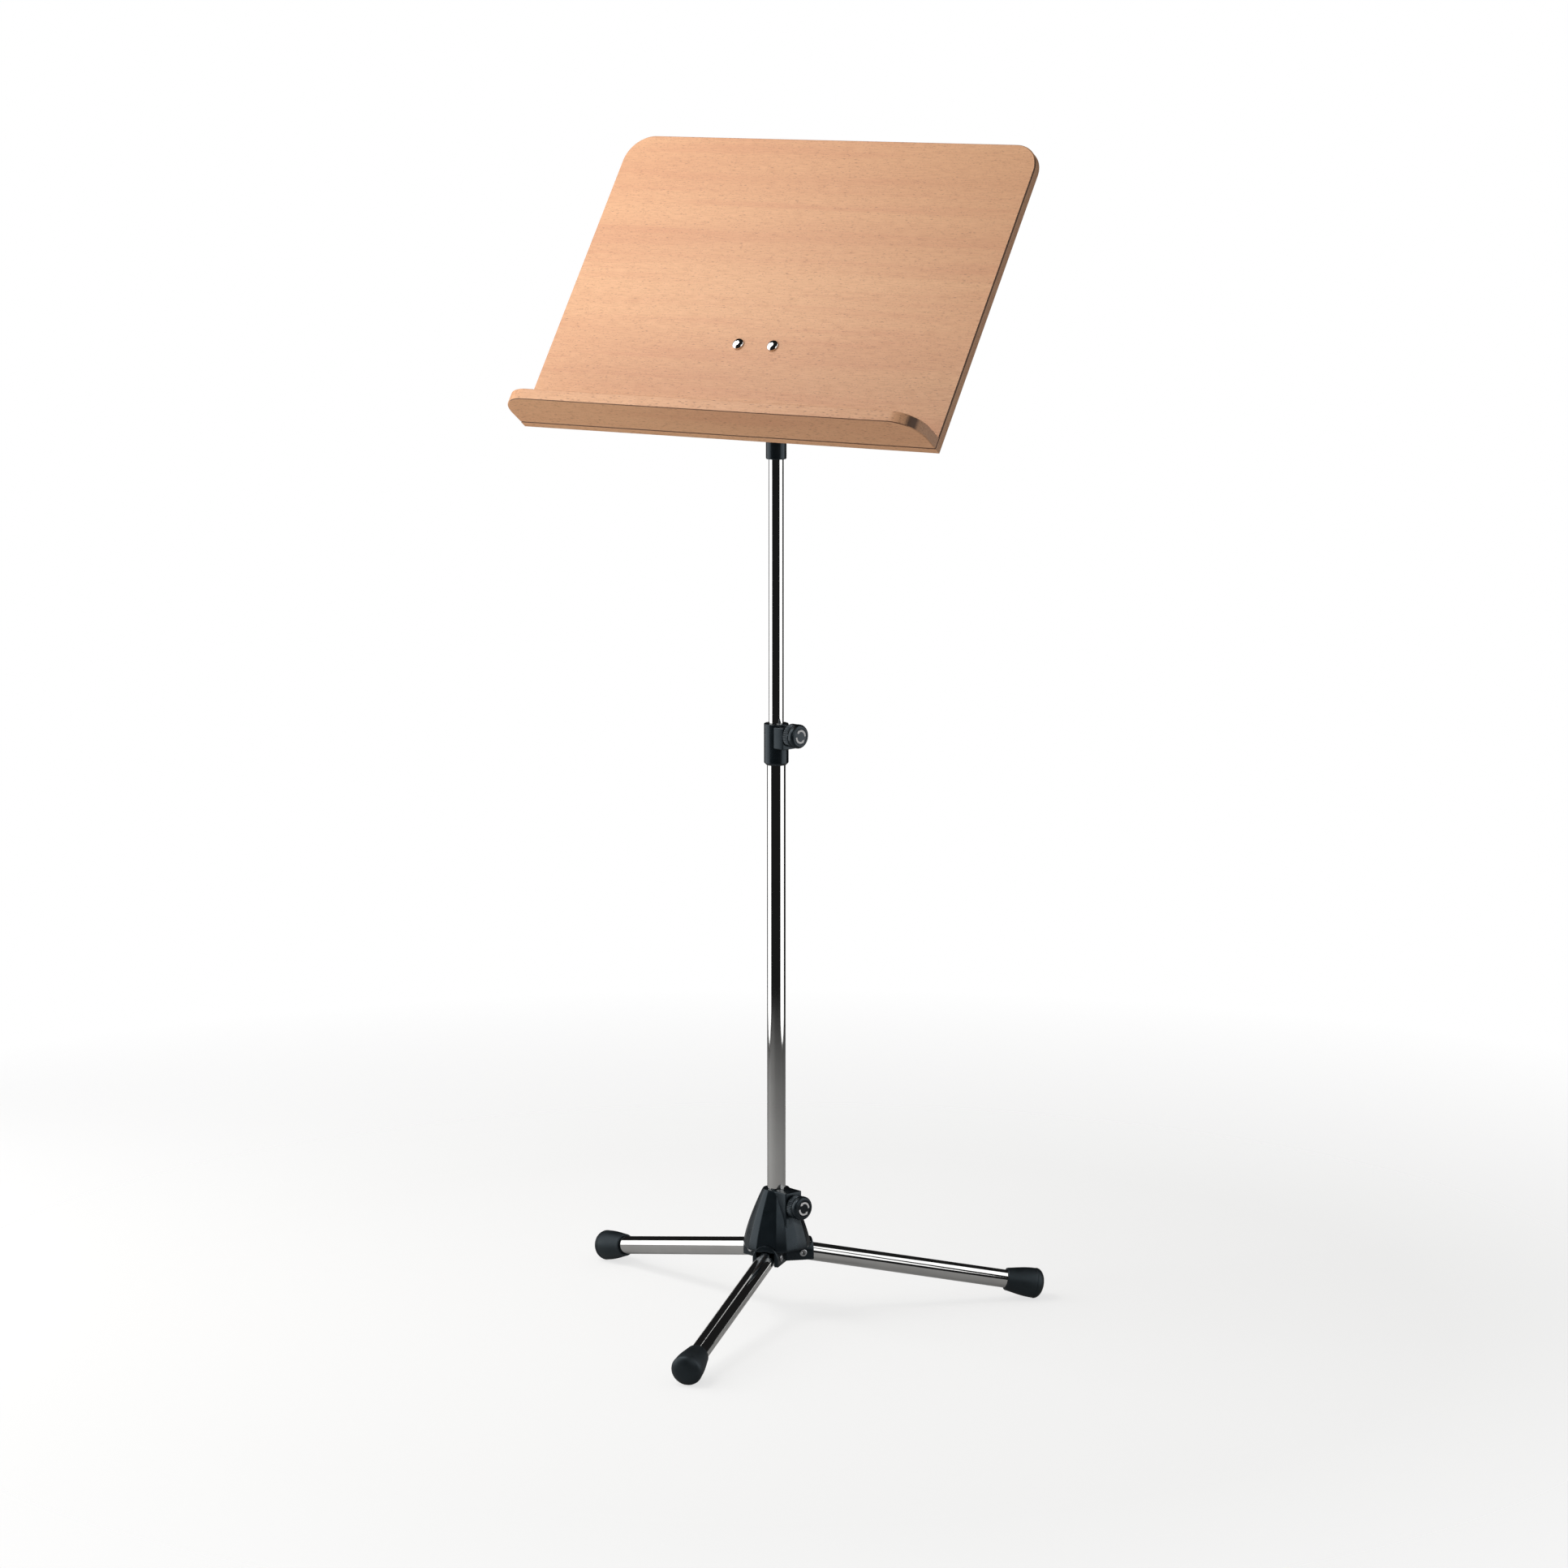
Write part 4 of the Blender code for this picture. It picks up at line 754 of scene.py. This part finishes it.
def build_tilt_bolt():
    """Hexagon bolt and washers on the tilt axis."""
    start, end = span("tilt_bolt", DESK, 0)
    head_end = start + 0.0053
    shank = 0.0040
    bevel = 0.0008
    bolt = make_object("hex_bolt", plate(soften(hexagon(0.0075), 0.0003, 2),
                                         edge_levels(start, head_end, 0.0004), "YZ"), DESK)
    bar = turned([(shank, head_end - 0.002), (shank, end - bevel), (shank - bevel, end)],
                 SMALL_ROUND, "X")
    carve(bolt, [add("bolt_shank", bar, DESK)])
    finish_piece(bolt, "desk", "zinc_steel", "tilt_bolt")
    for side in ("right", "left"):
        build_washer("friction_disc_" + side, "friction_washer_" + side, DESK, "X", SCREW_HOLE,
                     "white_nylon")
    build_washer("thrust_disc", "tilt_thrust_washer", DESK, "X", SCREW_HOLE, body="tilt_washer")


def build_star_knob():
    """Six-lobed star knob with a domed face and a round neck."""
    start, end = span("tilt_knob", DESK, 0)
    radius = 0.0170
    lobes = 6
    sides = 144
    dip = 0.0034
    neck_radius = 0.0085
    neck_end = start + 0.0060
    neck_edge = 0.0006
    levels = [(neck_end, 0.86), (neck_end + 0.0006, 0.93), (neck_end + 0.0020, 0.985),
              (neck_end + 0.0040, 1.0), (end - 0.0050, 1.0), (end - 0.0028, 0.975),
              (end - 0.0012, 0.91), (end - 0.0003, 0.80), (end, 0.62)]
    rings = [wavy_ring(place, sides, lambda a, scale=scale:
                       scale * (radius - dip * ((1 - math.cos(lobes * a)) / 2) ** 0.8))
             for place, scale in levels]
    knob = make_object("star_knob", loft(rings), DESK)
    neck = turned([(neck_radius - neck_edge, start), (neck_radius, start + neck_edge),
                   (neck_radius, neck_end + 0.002)], SMALL_ROUND, "X")
    bore_end = span("tilt_bolt", DESK, 0)[1] + 0.001
    carve(knob, [add("neck", neck, DESK),
                 cut("knob_bore", rod(SCREW_HOLE, start - PAST, bore_end), DESK)])
    finish_piece(knob, "tilt_clamp", "black_plastic", "tilt_knob")


# ---------------- mast
def tube_profile(inner, outer, start, end, lip=0.0003):
    """Profile of a tube with its end edges eased."""
    return [(inner, start + lip), (inner + lip, start), (outer - lip, start), (outer, start + lip),
            (outer, end - lip), (outer - lip, end), (inner + lip, end), (inner, end - lip)]


def build_mast():
    """Upper and lower tubes, and the plug under the lower one."""
    for node, inner, body in (("upper_tube", 0.0070, "upper_mast"),
                              ("lower_tube", 0.0088, "lower_mast")):
        start, end = span(node, MAST, 2)
        profile = tube_profile(inner, span(node, MAST, 0)[1], start, end)
        tube = make_object(node + "_fine", lathe(profile, ROUND), MAST)
        finish_piece(tube, body, "chrome_tube", node)
    start, end = span("lower_tube_plug", MAST, 2)
    flange = span("lower_tube_plug", MAST, 0)[1]
    shank = 0.0085
    steps = [(0.0, 0.0), (0.0040, 0.0), (0.0046, 0.0003), (0.0052, 0.0009), (0.0052, 0.0034),
             (0.0060, 0.0038), (0.0078, 0.0060), (0.0083, 0.0068), (0.0083, 0.0116),
             (flange, 0.0116), (flange, 0.0136), (shank, 0.0136)]
    profile = [(radius, start + rise) for radius, rise in steps]
    profile += [(shank, end - 0.001), (0.0, end)]
    plug = make_object("end_plug", lathe(profile, SMALL_ROUND), MAST)
    finish_piece(plug, "lower_mast", "black_plastic", "lower_tube_plug")


def clamp_hole(start, seat, reach):
    """Cutter for a clamp's screw and pad, with a wider seat for its insert outside."""
    return turned([(INSERT_HOLE, start), (INSERT_HOLE, seat), (INSERT_SEAT, seat),
                   (INSERT_SEAT, reach + PAST)], SMALL_ROUND, "X")


def build_collar():
    """Clamp collar with its conical foot and a softly edged square boss."""
    clamp = CLAMPS["height"]
    bottom, top = span("clamp_collar", MAST, 2)
    radius = -span("clamp_collar", MAST, 0)[0]
    reach = span("clamp_collar", clamp, 0)[1]
    cone = bottom + 0.0024
    edge = 0.0008
    profile = [(TUBE_BORE + 0.0004, bottom), (radius - 0.0004, cone - 0.0003),
               (radius, cone + 0.0003)]
    profile += [(radius - edge * (1 - c), top - edge * (1 - s)) for s, c in quarter(4)]
    collar = make_object("collar", turned(profile, ROUND), MAST)
    half = 0.0110
    low = -0.0153
    high = 0.0083
    corners = [Vector(p) for p in ((-half, low), (half, low), (half, high), (-half, high))]
    levels = [(0.0, 0.0), *eased_end(reach, 0.0006, 0.0002)]
    lip = top - 0.0011
    bore = turned([(TUBE_BORE, bottom - PAST), (TUBE_BORE, lip), (TUBE_LIP, lip),
                   (TUBE_LIP, top + PAST)], ROUND)
    carve(collar, [add("collar_boss", plate(soften(corners, 0.0014, 4), levels, "YZ"), clamp),
                   cut("collar_bore", bore, MAST),
                   cut("collar_hole", clamp_hole(0.007, radius, reach), clamp)])
    finish_piece(collar, "lower_mast", "black_plastic", "clamp_collar")


# ---------------- clamp knobs
def build_clamp_knob(prefix, body):
    """Clamp knob: knurled band behind, smooth rounded front, recessed face."""
    clamp = CLAMPS[prefix]
    node = prefix + "_knob"
    start, end = span(node, clamp, 0)
    radius = span(node, clamp, 2)[1]
    cap_radius = span(node + "_cap", clamp, 2)[1]
    recess = span(node + "_cap", clamp, 0)[0]
    ribs = 44
    sides = ribs * 4
    depth = 0.00055
    grip = radius - 0.0002
    grip_end = start + 0.0085
    neck = grip - 0.0009
    face = cap_radius + 0.00015
    levels = [(start, grip - 0.0016, 0.0), (start + 0.0004, grip - 0.0006, 0.5),
              (start + 0.0011, grip, 1.0), (grip_end - 0.0009, grip, 1.0),
              (grip_end - 0.0003, grip - 0.0005, 0.4), (grip_end, neck, 0.0),
              (grip_end + 0.0004, neck, 0.0), (grip_end + 0.0008, grip, 0.0),
              (grip_end + 0.0013, radius, 0.0)]
    bulge = 0.0036
    edge = face + 0.0009
    levels += [(end - bulge * (1 - s), edge + (radius - edge) * c, 0.0) for s, c in quarter(8)]
    levels += [(end - 0.0001, face + 0.0002, 0.0), (end - 0.0004, face, 0.0), (recess, face, 0.0)]
    rings = [wavy_ring(place, sides, lambda a, reach=reach, knurl=knurl:
                       reach - depth * knurl * (1 - math.cos(ribs * a)) / 2)
             for place, reach, knurl in levels]
    knob = make_object(prefix + "_clamp_knob", loft(rings), clamp)
    bore_end = span(prefix + "_clamp_screw", clamp, 0)[1] + 0.0003
    carve(knob, [cut("clamp_bore", rod(SCREW_HOLE, start - PAST, bore_end), clamp)])
    finish_piece(knob, body, "black_plastic", node)
    build_cap(prefix, clamp, recess, end, cap_radius, body)
    build_mark(prefix, clamp, end, cap_radius, body)


def build_cap(prefix, clamp, seat, end, radius, body):
    """Glossy, slightly crowned disc in the knob's face."""
    crown = 0.0003
    edge = 0.0002
    low = seat + 0.0001
    profile = [(0.0, low), (radius - edge, low), (radius, low + edge),
               (radius, end - crown - edge), (radius - edge, end - crown)]
    for step in range(1, 6):
        share = 1 - step / 6
        profile.append((radius * share, end - crown * share ** 2))
    profile.append((0.0, end))
    cap = make_object(prefix + "_cap", lathe(profile, ROUND, "X"), clamp)
    finish_piece(cap, body, "knob_cap", prefix + "_knob_cap")


def build_mark(prefix, clamp, face, cap_radius, body):
    """Two raised curved arrows on the cap, the usual sign for turning."""
    inner = cap_radius * 0.62
    outer = cap_radius * 0.84
    barb = 0.0009
    sweep = math.radians(118)
    head = math.radians(26)
    steps = 24
    places = [(outer, sweep * step / steps) for step in range(steps + 1)]
    places += [(outer + barb, sweep), ((inner + outer) / 2, sweep + head), (inner - barb, sweep)]
    places += [(inner, sweep * (1 - step / steps)) for step in range(steps + 1)]
    bm = bmesh.new()
    for turn in (0.0, math.pi):
        outline = [polar(radius, turn + angle) for radius, angle in places]
        part = plate(outline, [(face - 0.0006, 0.0), (face + 0.00012, 0.0)], "YZ")
        mesh = bpy.data.meshes.new("arrow")
        part.to_mesh(mesh)
        part.free()
        bm.from_mesh(mesh)
        bpy.data.meshes.remove(mesh)
    mark = make_object(prefix + "_turn_mark", bm, clamp)
    finish_piece(mark, body, "knob_cap", material="white_print")


# ---------------- hub
HUB_RIM = 0.0755
HUB_RIM_RADIUS = 0.0356
HUB_TOP_RADIUS = 0.0150
HUB_SWELL = 1.45


HUB_CORNERS = ((-36.0, 0.04), (-17.5, 0.06), (17.5, 0.06), (36.0, 0.04), (60.0, 0.0))


def bell_section(azimuths, height, top, shrink=0.0):
    """One softened section of the bell, with (degrees, swell) corners about each leg."""
    share = max(0.0, (top - height) / (top - HUB_RIM))
    radius = HUB_TOP_RADIUS + (HUB_RIM_RADIUS - HUB_TOP_RADIUS) * (1 - (1 - share) ** HUB_SWELL)
    outline = []
    for azimuth in azimuths:
        for turn, swell in HUB_CORNERS:
            reach = radius * (1 + swell * share) - shrink
            outline.append(polar(reach, math.radians(turn) + azimuth))
    return [(point.x, point.y, height) for point in soften(outline, 0.0011, 3)]


def build_bell(azimuths, top):
    """The hub's faceted bell, with eased ends."""
    levels = 44
    edge = 0.0010
    ease = 0.0003
    rings = [bell_section(azimuths, top, top, edge), bell_section(azimuths, top - ease, top, ease)]
    for level in range(1, levels + 1):
        height = top - edge + (HUB_RIM + 0.0008 - top + edge) * level / levels
        rings.append(bell_section(azimuths, height, top))
    rings.append(bell_section(azimuths, HUB_RIM + 0.0002, top, ease))
    rings.append(bell_section(azimuths, HUB_RIM, top, 0.0009))
    return make_object("hub", loft(rings), MAST)


def build_hub():
    """Faceted bell with arched leg housings, a square boss, slots and moulding pockets."""
    bottom, top = span("base_hub", MAST, 2)
    azimuths = []
    for side in SIDES:
        offset = LEGS[side].translation - MAST.translation
        azimuths.append(math.atan2(offset.y, offset.x))
    hub = build_bell(azimuths, top)

    clamp = CLAMPS["base"]
    boss_reach = 0.0284
    boss_round = 0.0014
    half = 0.0115
    boss_top = top - 0.0003 - clamp.translation.z
    near, right, left, far = [Vector(point) for point in (
        (0.0, -half), (boss_reach, -half), (boss_reach, half), (0.0, half))]
    outline = [near, *round_corner(near, right, left, boss_round),
               *round_corner(right, left, far, boss_round), far]
    levels = [(boss_top - 0.040, 0.0), *eased_end(boss_top, 0.0008, 0.0002)]
    helpers = [add("hub_boss", plate(outline, levels, "XY"), clamp)]

    section = arch(0.0145, LEGS["right"].translation.z, bottom)
    levels = [(0.002, 0.0), *eased_end(0.0390, 0.0012, 0.0004)]
    for azimuth in azimuths:
        outward = basis(MAST.translation, (*polar(1.0, azimuth), 0.0), UP)
        helpers.append(add("housing", plate(section, levels, "YZ"), outward))
    step_z = bottom + 0.0028
    mouth = 0.0006
    bore = turned([(TUBE_LIP, bottom - PAST), (TUBE_LIP, step_z), (TUBE_BORE, step_z),
                   (TUBE_BORE, top - mouth), (TUBE_BORE + mouth, top),
                   (TUBE_BORE + 0.002, top + PAST)], ROUND)
    helpers.append(cut("hub_bore", bore, MAST))
    helpers.append(cut("hub_screw_hole", clamp_hole(0.009, 0.0165, boss_reach), clamp))
    for side, azimuth in zip(SIDES, azimuths):
        helpers += leg_room(side, azimuth)
    carve(hub, helpers)
    finish_piece(hub, "base", "black_plastic", "base_hub")


def leg_room(side, azimuth):
    """Cutters for one leg: pin hole, slot, room for the heel and a moulding pocket."""
    leg = LEGS[side]
    level = basis(leg.translation, (*polar(1.0, azimuth), 0.0), UP)
    slot = 0.0106
    half = slot - 0.0001
    heel = math.hypot(0.0092, 0.0100) + 0.0006
    between = polar(0.0230, azimuth + math.radians(60))
    roof = HUB_RIM + 0.022
    pocket = turned([(0.0075, HUB_RIM - 0.005), (0.0045, roof - 0.002), (0.0035, roof)],
                    HOLE_ROUND)
    return [cut("pin_hole", rod(BOLT_HOLE, -0.03, 0.03, "Y"), level),
            cut("slot", plate(arch(slot, 0.0, -0.05), [(0.0, 0.0), (0.05, 0.0)], "YZ"), leg),
            cut("swing", plate(arch(heel, 0.0, -0.02), [(-half, 0.0), (half, 0.0)], "XZ"), level),
            cut("pocket", pocket, MAST @ Matrix.Translation((*between, 0.0)))]


# ---------------- legs
def build_leg(side):
    """Leg tube, rubber foot and hollow rivet of one leg."""
    leg = LEGS[side]
    node = "leg_tube_" + side
    start, end = span(node, leg, 0)
    outer = span(node, leg, 1)[1]
    wall = 0.0012
    profile = tube_profile(outer - wall, outer, start, end)
    tube = make_object("leg_tube_fine_" + side, lathe(profile, ROUND, "X"), leg)
    finish_piece(tube, "leg_" + side, "chrome_tube", node)
    build_foot(side, leg, end)
    build_rivet(side, leg)


def build_foot(side, leg, tube_end):
    """Rubber boot: rolled mouth, flared wall, faint seam, domed toe and a worn flat."""
    node = "leg_foot_" + side
    mouth, toe = span(node, leg, 0)
    radius = span(node, leg, 1)[1]
    bore = 0.0101
    bore_end = tube_end + 0.0002
    mouth_radius = 0.0125
    lip = 0.0011
    lip_end = mouth + lip
    lip_middle = (bore + mouth_radius) / 2
    shoulder = toe - 0.0100
    seam = 0.0003
    profile = [(0.0, bore_end), (bore, bore_end), (bore, lip_end)]
    for step in range(1, 8):
        run, rise = polar(1.0, math.pi * step / 8)
        profile.append((lip_middle - (mouth_radius - bore) / 2 * run, lip_end - lip * rise))
    profile.append((mouth_radius, lip_end))
    flare = shoulder - 0.0010 - lip_end
    for step in range(1, 13):
        share = step / 12
        swell = math.sin(share * math.pi / 2) ** 1.15
        profile.append((mouth_radius + (radius - seam - mouth_radius) * swell,
                        lip_end + flare * share))
    dome_start = shoulder + 0.0002
    profile += [(radius - 0.00045, shoulder - 0.0005), (radius - 0.0001, shoulder - 0.0002),
                (radius, dome_start)]
    profile += [(radius * c ** 0.85, dome_start + (toe - dome_start) * s)
                for s, c in quarter(14)[1:-1]]
    profile.append((0.0, toe))
    foot = make_object("rubber_foot_" + side, lathe(profile, ROUND, "X"), leg)
    outline = [Vector(p) for p in ((-1.0, -1.0), (1.0, -1.0), (1.0, 1.0), (-1.0, 1.0))]
    floor = plate(outline, [(-0.05, 0.0), (0.0, 0.0)], "XY")
    carve(foot, [cut("sole_plane", floor, Matrix.Identity(4))])
    finish_piece(foot, "leg_" + side, "foot_rubber", node)


def build_rivet(side, leg):
    """Hollow rivet with rolled ends, through the housing's cheeks."""
    node = "leg_pin_" + side
    low, high = span(node, leg, 1)
    head = 0.0039
    shank = 0.0030
    hollow = 0.0019
    half_profile = [(hollow, 0.0006), (hollow + 0.0004, 0.0001), (hollow + 0.0009, 0.0),
                    (head - 0.0005, 0.0001), (head, 0.0005), (head - 0.0001, 0.0008),
                    (shank, 0.0008)]
    profile = [(radius, low + depth) for radius, depth in half_profile]
    profile += [(radius, high - depth) for radius, depth in reversed(half_profile)]
    rivet = make_object("rivet_" + side, lathe(profile, SMALL_ROUND, "Y"), leg)
    finish_piece(rivet, "base", "zinc_steel", node)


# ---------------- carried-over CAD nodes
def finish_cad_nodes():
    """Give the hidden inner pieces, which keep their CAD shape, their materials."""
    finishes = {"screw_insert": "brass", "clamp_screw": "zinc_steel",
                "pressure_pad": "white_nylon", "guide_bush": "white_nylon",
                "slide_plug": "white_nylon", "leg_insert": "black_plastic"}
    for name, node in NODES.items():
        for word, finish in finishes.items():
            if word in name:
                node.data.materials.clear()
                node.data.materials.append(MATERIALS[finish])


# ---------------- studio
def add_panel(name, turn, distance, height, size, power, aim):
    """A soft panel, turned about the mast from the camera's side, that faces the mast."""
    angle = math.radians(CAMERA_AZIMUTH + turn - 90.0)
    centre = MAST.translation
    place = Vector((*(centre.xy + polar(distance, angle)), height))
    light = bpy.data.lights.new(name, "AREA")
    light.shape = "RECTANGLE"
    light.size, light.size_y = size
    light.energy = power
    lamp = bpy.data.objects.new(name, light)
    lamp.location = place
    direction = Vector((centre.x, centre.y, aim)) - place
    lamp.rotation_euler = direction.to_track_quat("-Z", "Y").to_euler()
    lamp.visible_camera = False
    bpy.context.scene.collection.objects.link(lamp)
    return lamp


def build_camera(scene):
    """The photograph's camera, which looks a little down at the mast."""
    centre = MAST.translation
    angle = math.radians(CAMERA_AZIMUTH)
    data = bpy.data.cameras.new("camera")
    data.lens = CAMERA_LENS
    data.sensor_width = SENSOR_WIDTH
    data.clip_end = 60.0
    camera = bpy.data.objects.new("camera", data)
    camera.location = (centre.x + CAMERA_DISTANCE * math.sin(angle),
                       centre.y - CAMERA_DISTANCE * math.cos(angle), CAMERA_HEIGHT)
    camera.rotation_euler = (math.radians(90.0 - CAMERA_PITCH), 0.0,
                             math.radians(CAMERA_AZIMUTH + CAMERA_YAW))
    scene.collection.objects.link(camera)
    scene.camera = camera


def build_studio():
    """Camera, soft panels, a white surround and a pale floor that fades into it."""
    scene = bpy.context.scene
    scene.view_settings.view_transform = "Standard"
    build_camera(scene)
    add_panel("left_panel", -98, 1.25, 1.22, (1.45, 2.4), power=16.5, aim=1.22)
    right = add_panel("right_panel", 80, 1.25, 1.22, (1.25, 2.4), power=13.5, aim=1.22)
    right.visible_diffuse = False
    add_panel("key_panel", -84, 0.85, 1.95, (0.6, 0.6), power=8.2, aim=1.2)
    low = add_panel("low_panel", -45, 1.7, 0.35, (1.0, 0.6), power=6.0, aim=1.05)
    low.visible_glossy = False
    front = add_panel("front_panel", 24, 1.9, 1.45, (1.3, 1.3), power=7.0, aim=0.1)
    front.visible_diffuse = False
    build_world(scene)
    build_floor()


def build_world(scene):
    """White behind the object, dim in reflections, soft fill for the rest."""
    world = bpy.data.worlds.new("studio")
    world.use_nodes = True
    scene.world = world
    tree = world.node_tree
    background = tree.nodes["Background"]
    background.inputs["Color"].default_value = (1.0, 1.0, 1.0, 1.0)
    path = tree.nodes.new("ShaderNodeLightPath")
    mirror = tree.nodes.new("ShaderNodeMix")
    mirror.inputs["A"].default_value = WORLD_FILL
    mirror.inputs["B"].default_value = WORLD_MIRROR
    tree.links.new(path.outputs["Is Glossy Ray"], mirror.inputs["Factor"])
    seen = tree.nodes.new("ShaderNodeMix")
    seen.inputs["B"].default_value = 1.0
    tree.links.new(path.outputs["Is Camera Ray"], seen.inputs["Factor"])
    tree.links.new(mirror.outputs["Result"], seen.inputs["A"])
    tree.links.new(seen.outputs["Result"], background.inputs["Strength"])


def build_floor():
    """A pale round floor whose edge fades into the surround."""
    bm = bmesh.new()
    bmesh.ops.create_circle(bm, cap_ends=True, segments=ROUND, radius=FLOOR_RADIUS)
    floor = make_object("floor", bm, MAST @ Matrix.Translation((0.0, 0.0, -0.0002)))
    paint = Shading("floor_paint")
    paint.set(Base_Color=(0.93, 0.92, 0.905), Roughness=0.8, Emission_Color=(1.0, 0.985, 0.96),
              Emission_Strength=0.16)
    gradient = paint.add("ShaderNodeTexGradient")
    gradient.gradient_type = "SPHERICAL"
    paint.link(paint.stretched((1 / FLOOR_RADIUS, 1 / FLOOR_RADIUS, 1.0)),
               gradient.inputs["Vector"])
    clear = paint.add("ShaderNodeBsdfTransparent")
    mix = paint.add("ShaderNodeMixShader")
    paint.link(paint.spread(gradient.outputs["Fac"], 0.12, 0.62, 0.0, 0.36), mix.inputs["Fac"])
    paint.link(clear.outputs["BSDF"], mix.inputs[1])
    paint.link(paint.shader.outputs["BSDF"], mix.inputs[2])
    output = paint.tree.nodes["Material Output"]
    paint.link(mix.outputs["Shader"], output.inputs["Surface"])
    floor.data.materials.append(paint.material)


# ---------------- everything
build_studio()
build_board()
build_ledge()
build_bolts()
for screw_index in range(1, 5):
    build_screw(screw_index)
build_bracket()
build_tilt_head()
build_tilt_bolt()
build_star_knob()
build_mast()
build_collar()
build_clamp_knob("height", "height_clamp")
build_clamp_knob("base", "base_clamp")
build_hub()
for leg_side in SIDES:
    build_leg(leg_side)
finish_cad_nodes()
